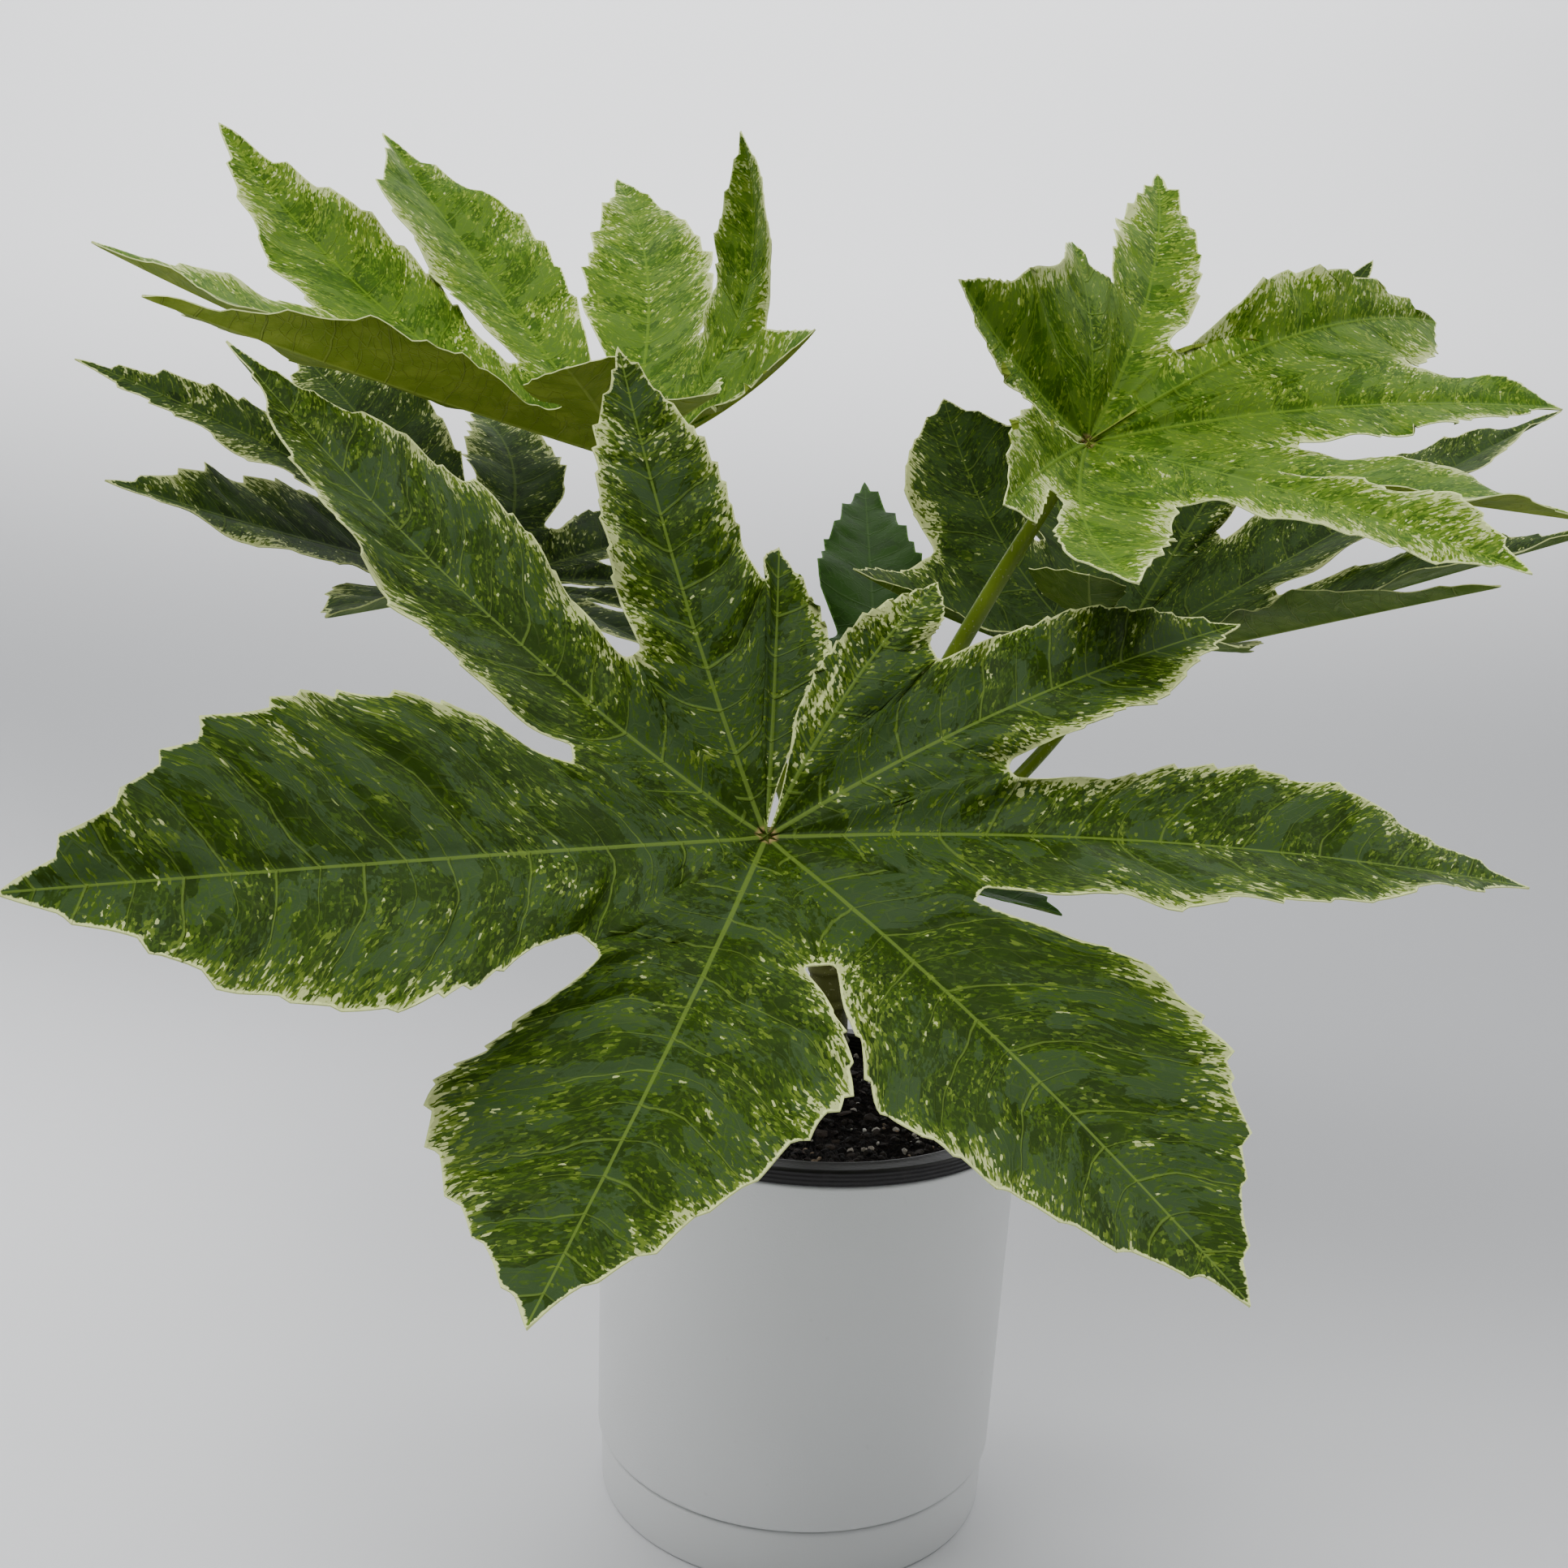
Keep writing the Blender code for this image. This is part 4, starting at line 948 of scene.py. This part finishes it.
def make_fleck_group():
    """How pale each small polygon of a variegated leaf is, as masks for cream, lime and mid
    green, and the grey panels between veins, which are partly the leaf's own grey-green and partly
    a painted bluish sheen. The polygons lie along the side veins."""
    inputs = {"Object": VECTOR, "Layout": VECTOR, "Border": VECTOR, "Amount": NUMBER, "Margin": NUMBER}
    tree, given = new_group("variegation", inputs)
    border = add(tree, "ShaderNodeSeparateXYZ", {0: given["Border"]}).outputs
    jitter = add(tree, "ShaderNodeTexNoise", {"Vector": given["Layout"], "Scale": 0.9, "Detail": 2.0})
    shift = add(tree, "ShaderNodeVectorMath", {0: jitter.outputs["Color"], 1: (1.2, 1.2, 1.2)},
                operation="MULTIPLY").outputs[0]
    moved = add(tree, "ShaderNodeVectorMath", {0: given["Layout"], 1: shift}, operation="ADD").outputs[0]
    grains = add(tree, "ShaderNodeTexVoronoi", {"Vector": moved, "Scale": 1.45}).outputs["Position"]
    own = add(tree, "ShaderNodeTexWhiteNoise", {"Vector": grains}, noise_dimensions="3D").outputs["Value"]
    small = noise(tree, grains, 0.42, 3, 0.75)
    streak = noise(tree, moved, 0.16, 2)
    wide = noise(tree, given["Object"], 48, 2)
    near = maths(tree, "POWER", 2.718, maths(tree, "MULTIPLY", border["X"], -0.21))
    for value, low, high in ((border["Y"], 1.0, 0.80), (border["Y"], 0.10, 0.42),
                             (noise(tree, given["Object"], 26, 1), 0.25, 0.6)):
        near = maths(tree, "MULTIPLY", near, ramp(tree, value, low, high))
    level = maths(tree, "ADD", given["Amount"], -0.18)
    for value, weight in ((small, 1.0), (wide, 0.30), (streak, 0.36), (own, 0.30), (near, given["Margin"])):
        level = maths(tree, "MULTIPLY_ADD", value, weight, level)
    # Grey panels: partly the leaf's own grey-green and partly a painted bluish sheen.
    blocks = add(tree, "ShaderNodeTexVoronoi", {"Vector": moved, "Scale": 0.26}).outputs["Position"]
    panel = maths(tree, "ADD", noise(tree, blocks, 0.085, 2), maths(tree, "MULTIPLY", own, 0.06))
    put_out(tree, {"Cream": ramp(tree, level, 1.085, 1.125), "Lime": ramp(tree, level, 0.985, 1.025),
                   "Mid": ramp(tree, level, 0.84, 0.91), "Grey and sheen": ramp(tree, panel, 0.515, 0.545),
                   "Shade": noise(tree, given["Object"], 150, 4, 0.65)})
    return tree


vein_group = make_vein_group()
fleck_group = make_fleck_group()


def leaf_nodes(tree):
    """What both faces of a leaf need: the place on it, the distance to its margin and its veins."""
    position = object_place(tree)
    border = add(tree, "ShaderNodeAttribute", attribute_name="border").outputs["Vector"]
    place = add(tree, "ShaderNodeAttribute", attribute_name="place").outputs["Vector"]
    half = add(tree, "ShaderNodeAttribute", attribute_name="half").outputs["Fac"]
    values = {"Place": place, "Border": border, "Half": half, "Object": position}
    return position, border, add(tree, "ShaderNodeGroup", values, node_tree=vein_group).outputs


def upper_skin(name, deep, grey_and_sheen, mid, lime, cream, rib, amount, margin, roughness):
    """The waxy upper face of a leaf, from its deep green up to its cream flecks and edge."""
    mat, shader, tree = new_material(name, roughness, 0.04)
    position, border, veins = leaf_nodes(tree)
    edge = add(tree, "ShaderNodeSeparateXYZ", {0: border}).outputs["X"]
    values = {"Object": position, "Layout": veins["Layout"], "Border": border, "Amount": amount,
              "Margin": margin}
    masks = add(tree, "ShaderNodeGroup", values, node_tree=fleck_group).outputs
    darker = tuple(0.72 * c for c in deep)
    colour = blend_colour(tree, ramp(tree, masks["Shade"], 0.35, 0.65), darker, deep)
    # The grey panels laid over the green are partly a painted bluish sheen.
    for tint, mask, strength in (
            (grey_and_sheen, masks["Grey and sheen"], 0.8), (mid, masks["Mid"], 0.85), (lime, masks["Lime"], 0.9),
            (lime, veins["Net"], 0.10), (cream, masks["Cream"], 1.0),
            (rib, veins["Side veins"], 0.62), (rib, veins["Midrib"], 0.75)):
        colour = tinted(tree, colour, tint, mask, strength)
    ragged = maths(tree, "MULTIPLY_ADD", noise(tree, veins["Layout"], 0.55, 2, 0.7), 2.2, edge)
    colour = blend_colour(tree, ramp(tree, ragged, 1.75, 1.40), colour, tuple(1.45 * c for c in cream))
    colour = blend_colour(tree, veins["Hub"], colour, (0.330, 0.220, 0.095))
    tree.links.new(colour, shader.inputs["Base Color"])
    rough = maths(tree, "MULTIPLY_ADD", masks["Shade"], 0.18, roughness - 0.09)
    tree.links.new(rough, shader.inputs["Roughness"])
    height = maths(tree, "MULTIPLY_ADD", noise(tree, position, 1300, 2), 0.25,
                   maths(tree, "MULTIPLY", masks["Shade"], 0.9))
    height = maths(tree, "MULTIPLY_ADD", veins["Side veins"], 0.8, height)
    height = maths(tree, "MULTIPLY_ADD", veins["Net"], 0.2, height)
    bumped(tree, shader, height, 0.00025)
    return mat


def lower_skin(name, green, pale, rib):
    """The dull, paler underside of a leaf, with its veins standing out."""
    mat, shader, tree = new_material(name, 0.6, 0.06)
    position, _, veins = leaf_nodes(tree)
    colour = blend_colour(tree, ramp(tree, noise(tree, position, 120, 3, 0.6), 0.4, 0.65), green, pale)
    for mask, strength in (("Net", 0.3), ("Side veins", 0.6), ("Midrib", 0.8)):
        colour = tinted(tree, colour, rib, veins[mask], strength)
    tree.links.new(colour, shader.inputs["Base Color"])
    height = maths(tree, "MULTIPLY_ADD", veins["Side veins"], 1.5, maths(tree, "MULTIPLY", veins["Net"], 0.8))
    height = maths(tree, "MULTIPLY_ADD", noise(tree, position, 1300), 0.5, height)
    bumped(tree, shader, height, 0.0003)
    return mat


# Each skin's grey is partly the leaf's own grey-green and partly a painted bluish sheen.
dark_upper = upper_skin(
    "leaf_dark_upper", deep=(0.021, 0.045, 0.004), grey_and_sheen=(0.036, 0.068, 0.022), mid=(0.040, 0.080, 0.006),
    lime=(0.110, 0.165, 0.018), cream=(0.420, 0.470, 0.190), rib=(0.115, 0.180, 0.026),
    amount=0.0, margin=0.45, roughness=0.38)
# A darker copy of the dark skin, as painted shade for the rear leaves that lie in the shadow of the leaves
# above them.
shaded_upper = upper_skin(
    "leaf_shaded_upper", deep=(0.015, 0.033, 0.004), grey_and_sheen=(0.024, 0.048, 0.011), mid=(0.029, 0.060, 0.005),
    lime=(0.080, 0.120, 0.014), cream=(0.360, 0.400, 0.160), rib=(0.065, 0.105, 0.014),
    amount=0.0, margin=0.48, roughness=0.62)
plain_upper = upper_skin(
    "leaf_plain_upper", deep=(0.013, 0.040, 0.003), grey_and_sheen=(0.015, 0.044, 0.004), mid=(0.018, 0.052, 0.004),
    lime=(0.024, 0.060, 0.006), cream=(0.030, 0.070, 0.010), rib=(0.024, 0.058, 0.008),
    amount=-0.2, margin=0.10, roughness=0.42)
# The two upper leaves' pale young green, brightened further as painted light for the light that shines
# through them from above.
pale_and_backlit_upper = upper_skin(
    "leaf_light_upper", deep=(0.045, 0.110, 0.005), grey_and_sheen=(0.085, 0.160, 0.018), mid=(0.095, 0.180, 0.010),
    lime=(0.190, 0.270, 0.030), cream=(0.460, 0.520, 0.220), rib=(0.120, 0.215, 0.016),
    amount=0.04, margin=0.47, roughness=0.45)
dark_lower = lower_skin("leaf_dark_under", green=(0.050, 0.095, 0.008), pale=(0.080, 0.130, 0.016),
                        rib=(0.140, 0.200, 0.035))
light_lower = lower_skin("leaf_light_under", green=(0.130, 0.190, 0.014), pale=(0.180, 0.240, 0.024),
                         rib=(0.220, 0.285, 0.040))
stalk_skin = green_stalk("leaf_stalk_skin", (0.075, 0.120, 0.003), (0.110, 0.165, 0.008), 0.45)


def build_leaf(name, slot, skins, junction, pose, petiole, lobes, pillow=0.9, **outline):
    """One leaf piece: the blade's fine mesh and its stalk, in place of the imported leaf. The
    junction is where they meet, in mm. The petiole is its height on the stem and its radius, in
    mm, then its bow, its climb in degrees, and how much it turns in under the blade."""
    junction = np.array(junction) * MM
    axes = leaf_axes(*pose)
    blade = FineBlade(lobes, **outline)
    points, faces, place, border = thick_blade(blade, pillow)
    top_count = len(blade.faces)
    attach_height, radius, *course = petiole
    stalk_points, stalk_faces = stalk_mesh(attach_height * MM, radius * MM, *course, junction, axes[:, 2])
    base = len(points)
    piece = mesh_piece(name + "_blade", [*(points @ axes.T + junction), *stalk_points],
                       faces + [tuple(base + i for i in face) for face in stalk_faces])
    mesh = piece.data
    for attribute, values in (("place", place), ("border", border)):
        values = np.vstack([values, values, np.zeros((len(stalk_points), 3))])
        mesh.attributes.new(attribute, "FLOAT_VECTOR", "POINT").data.foreach_set("vector", values.ravel())
    halves = np.zeros(len(mesh.polygons))
    halves[:2 * top_count] = blade.half * 2
    mesh.attributes.new("half", "FLOAT", "FACE").data.foreach_set("value", halves)
    for skin in (*skins, stalk_skin):
        mesh.materials.append(skin)
    slots = np.zeros(len(mesh.polygons), dtype=np.int32)
    slots[top_count:2 * top_count] = 1
    slots[len(faces):] = 2
    mesh.polygons.foreach_set("material_index", slots)
    mesh.shade_smooth()
    mesh.set_sharp_from_angle(angle=math.radians(65))
    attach(piece, "root")
    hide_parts(name)


light_skins = (pale_and_backlit_upper, light_lower)
shaded_skins = (shaded_upper, dark_lower)
plain_skins = (plain_upper, dark_lower)
build_leaf(
    "leaf_front", "leaf_dark", (dark_upper, dark_lower), junction=(-17, -103, 227), pose=(-12, -31, -15),
    petiole=(184, 3.2, 0.35, 41, 0.5), teeth=10, rows=(20, 74), cells=16, basal_lap=20, seed=3,
    notches=(64, 61, 55, 55, 72, 54, 55, 67), pillow=1.7, rounds=(0.8, 2.4, 2.7, 3.6, 3.2, 3.2, 2.4, 0.8),
    closing={3: 0.012}, lean={0: 0.40, 7: 0.75}, widest=0.42,
    lobes=[(-169, 82, 9, 40, -22, 15, -15), (-132, 134, 20, 28, -15, 9, 8),
           (-100, 178, 32, 17, -12, 6, 17), (-48, 153, 40, 14, -11, 3, 6),
           (2, 150, 38, 12, -7, 4, -22), (42, 176, 37, 20, 0, -2, 19),
           (98, 168, 32, 18, 16, 7, -25), (138, 132, 17, 27, 8, 5, 0),
           (166, 77, 14, 26, 8, -4, -16)])
build_leaf(
    "leaf_upper_left", "leaf_light", light_skins, junction=(-68, 18, 321), pose=(-121, -6, -25),
    petiole=(190, 3.0, 0.5, 72, 0.3), seed=5, widest=0.38,
    notches=(46, 44, 47, 59, 51, 42, 52, 59),
    lobes=[(-159, 69, 14, 22, -5, 8), (-126, 75, 20, 34, -1, 9), (-87, 160, 29, 32, 4, 6),
           (-51, 155, 29, 35, 11, -2, 6), (-7, 169, 27, 29, 33, 20, -6),
           (35, 161, 37, 29, 21, -9, -36), (80, 161, 20, 25, -3, -33, -19),
           (136, 109, 19, 9, 84, -20, 3), (167, 75, 10, 7, 27, 4, -5)])
build_leaf(
    "leaf_rear_left", "leaf_dark", shaded_skins, junction=(-111, 45, 279), pose=(-85, 11, -17),
    petiole=(178, 2.8, 0.3, 41, 0.5), seed=8, widest=0.36,
    notches=(37, 40, 42, 41, 45, 32, 34, 37),
    lobes=[(-165, 50, 12, 13, -9), (-134, 85, 20, 13, -8), (-84, 133, 23, 15, -6, 12, -34),
           (-49, 140, 23, 13, 6, 3, 18), (1, 144, 15, 23, -15, -1, 21),
           (47, 155, 25, 16, -9, 3, 38), (92, 125, 16, 30, -38, -35, 12),
           (134, 90, 20, 15, -9), (165, 50, 12, 14, -9)])
build_leaf(
    "leaf_upper_right", "leaf_light", light_skins, junction=(70, -1, 330), pose=(126, -13, 55),
    petiole=(197, 2.9, 0.4, 66, 0.2), seed=13, rows=(16, 54), cells=13,
    notches=(54, 59, 44, 114, 62, 56, 52, 50), lean={0: 0.35}, widest=0.38,
    lobes=[(-166, 71, 9, 9, 14, -2, 25), (-104, 64, 22, 39, -40, 11, -7),
           (-61, 131, 14, 23, -25, -12, 39), (-36, 157, 19, 41, -36, 23, -7),
           (-9, 152, 15, 38, -8, 17, 18), (37, 136, 30, 42, -2, -6, 31),
           (58, 129, 20, 46, -9, 10, -29), (125, 118, 19, 6, 29, -5, -50),
           (144, 79, 16, 9, -2, -8, 9)])
build_leaf(
    "leaf_rear_right", "leaf_dark", shaded_skins, junction=(100, 92, 259), pose=(114, -3, 15),
    petiole=(165, 2.7, 0.3, 41, 0.5), seed=21,
    notches=(74, 60, 62, 74, 64, 64, 60, 48), lean={3: 0.32}, widest=0.36,
    lobes=[(-167, 104, 14, 4, 17, -8, -7), (-126, 119, 42, 22, 34, 10, 36),
           (-81, 158, 32, 24, 3, 9), (-38, 219, 30, 42, 5, 12), (1, 197, 33, 37, -2, 4, 14),
           (45, 161, 35, 33, 0, -2), (85, 161, 28, 29, -1, 0, -3), (120, 147, 25, 22, -5, -13),
           (143, 85, 30, 33, -2, -12)])
build_leaf(
    "leaf_behind", "leaf_dark", plain_skins, junction=(18, 90, 249), pose=(182, 5, 0),
    petiole=(172, 2.7, 0.3, 41, 0.5), seed=34, widest=0.30,
    notches=(34, 38, 38, 38, 38, 34),
    lobes=[(-138, 65, 16, 0, -12), (-95, 78, 22, 0, -25), (-48, 100, 25, 3, -30),
           (0, 138, 19, 30, -4), (48, 85, 23, 0, -40), (95, 58, 18, 0, -15),
           (138, 50, 14, 0, -12)])
build_leaf(
    "leaf_young", "leaf_dark", plain_skins, junction=(28, -8, 200), pose=(64, -8, 0),
    petiole=(207, 1.6, 0.3, 20, 0.3), seed=55, widest=0.45, teeth=4, rows=(8, 26), cells=8,
    notches=(12, 14, 14, 12), rounds=(0.8, 0.8, 0.8, 0.8),
    lobes=[(-105, 26, 6, 8, -15), (-52, 40, 9, 8, -15), (0, 46, 10, 4, -4),
           (52, 40, 9, 8, -15), (105, 26, 6, 8, -15)])

# Floor and light
# The plant stands on a pale seamless sheet that curves up behind it. A broad soft lamp hangs
# above and in front, two weaker ones stand high at left and right, and a strip lights the
# sheet behind, in a dim pale room.
SHEET_WIDTH = 7.0
FLOOR_DEPTH = 4.9
FLOOR_END = 0.5
BEND_RADIUS = 0.9
BEND_STEPS = 24
WALL_HEIGHT = 1.2
deselect()
bpy.ops.mesh.primitive_plane_add(size=1, location=(0, 0, 0))
sheet = bpy.context.object
sheet.name = "floor_sheet"
bpy.ops.object.mode_set(mode="EDIT")
bpy.ops.mesh.select_mode(type="EDGE")
bpy.ops.mesh.select_all(action="SELECT")
bpy.ops.transform.resize(value=(SHEET_WIDTH, FLOOR_DEPTH, 1), center_override=(0, FLOOR_END, 0))
bpy.ops.mesh.select_all(action="DESELECT")
bpy.ops.object.mode_set(mode="OBJECT")
for edge in sheet.data.edges:
    edge.select = all(sheet.data.vertices[i].co.y > FLOOR_END - 0.001 for i in edge.vertices)
bpy.ops.object.mode_set(mode="EDIT")
for step in range(1, BEND_STEPS + 1):
    before = math.pi / 2 * (step - 1) / BEND_STEPS
    after = math.pi / 2 * step / BEND_STEPS
    move = (0, BEND_RADIUS * (math.sin(after) - math.sin(before)),
            BEND_RADIUS * (math.cos(before) - math.cos(after)))
    bpy.ops.mesh.extrude_edges_move(TRANSFORM_OT_translate={"value": move})
bpy.ops.mesh.extrude_edges_move(TRANSFORM_OT_translate={"value": (0, 0, WALL_HEIGHT)})
bpy.ops.mesh.select_all(action="SELECT")
bpy.ops.mesh.normals_make_consistent(inside=False)
bpy.ops.object.mode_set(mode="OBJECT")
sheet.data.shade_smooth()
mat, shader, tree = new_material("pale_sheet", 0.85, 0.2)
# The sheet's colour is painted shade and light: darker towards the back and to the right, and lighter up the
# wall, for the fall of the lamps' light.
parts = add(tree, "ShaderNodeSeparateXYZ", {0: object_place(tree)}).outputs
painted_shade_reach = maths(tree, "MULTIPLY_ADD", parts["X"], 0.60, parts["Y"])
colour = blend_colour(tree, ramp(tree, painted_shade_reach, -0.15, 0.55), (0.70, 0.705, 0.72), (0.34, 0.345, 0.355))
colour = blend_colour(tree, ramp(tree, parts["Z"], 0.10, 0.62), colour, (0.88, 0.885, 0.90))
tree.links.new(colour, shader.inputs["Base Color"])
sheet.data.materials.append(mat)


def soft_light(name, place, aim, size, power):
    """A broad rectangular lamp at a place, turned towards its aim."""
    data = bpy.data.lights.new(name, "AREA")
    data.shape = "RECTANGLE"
    data.size, data.size_y = size
    data.energy = power
    lamp = bpy.data.objects.new(name, data)
    bpy.context.collection.objects.link(lamp)
    lamp.location = place
    lamp.rotation_euler = (Vector(aim) - Vector(place)).to_track_quat("-Z", "Y").to_euler()


soft_light("overhead", (-0.3, -0.6, 1.7), (0, 0, 0.2), (1.6, 1.2), 33)
soft_light("upper_left", (-1.3, 0.2, 1.25), (0, 0, 0.2), (1.5, 1.5), 6.5)
soft_light("upper_right", (1.2, 0.3, 1.45), (0, 0, 0.2), (1.3, 1.3), 11.5)
soft_light("backdrop_wash", (-0.2, 0.8, 1.5), (-0.2, 1.4, 0.8), (2.4, 0.3), 24)
world = bpy.data.worlds.new("room")
world.use_nodes = True
room = world.node_tree.nodes["Background"].inputs
room["Color"].default_value = (0.80, 0.82, 0.85, 1)
room["Strength"].default_value = 0.28
bpy.context.scene.world = world
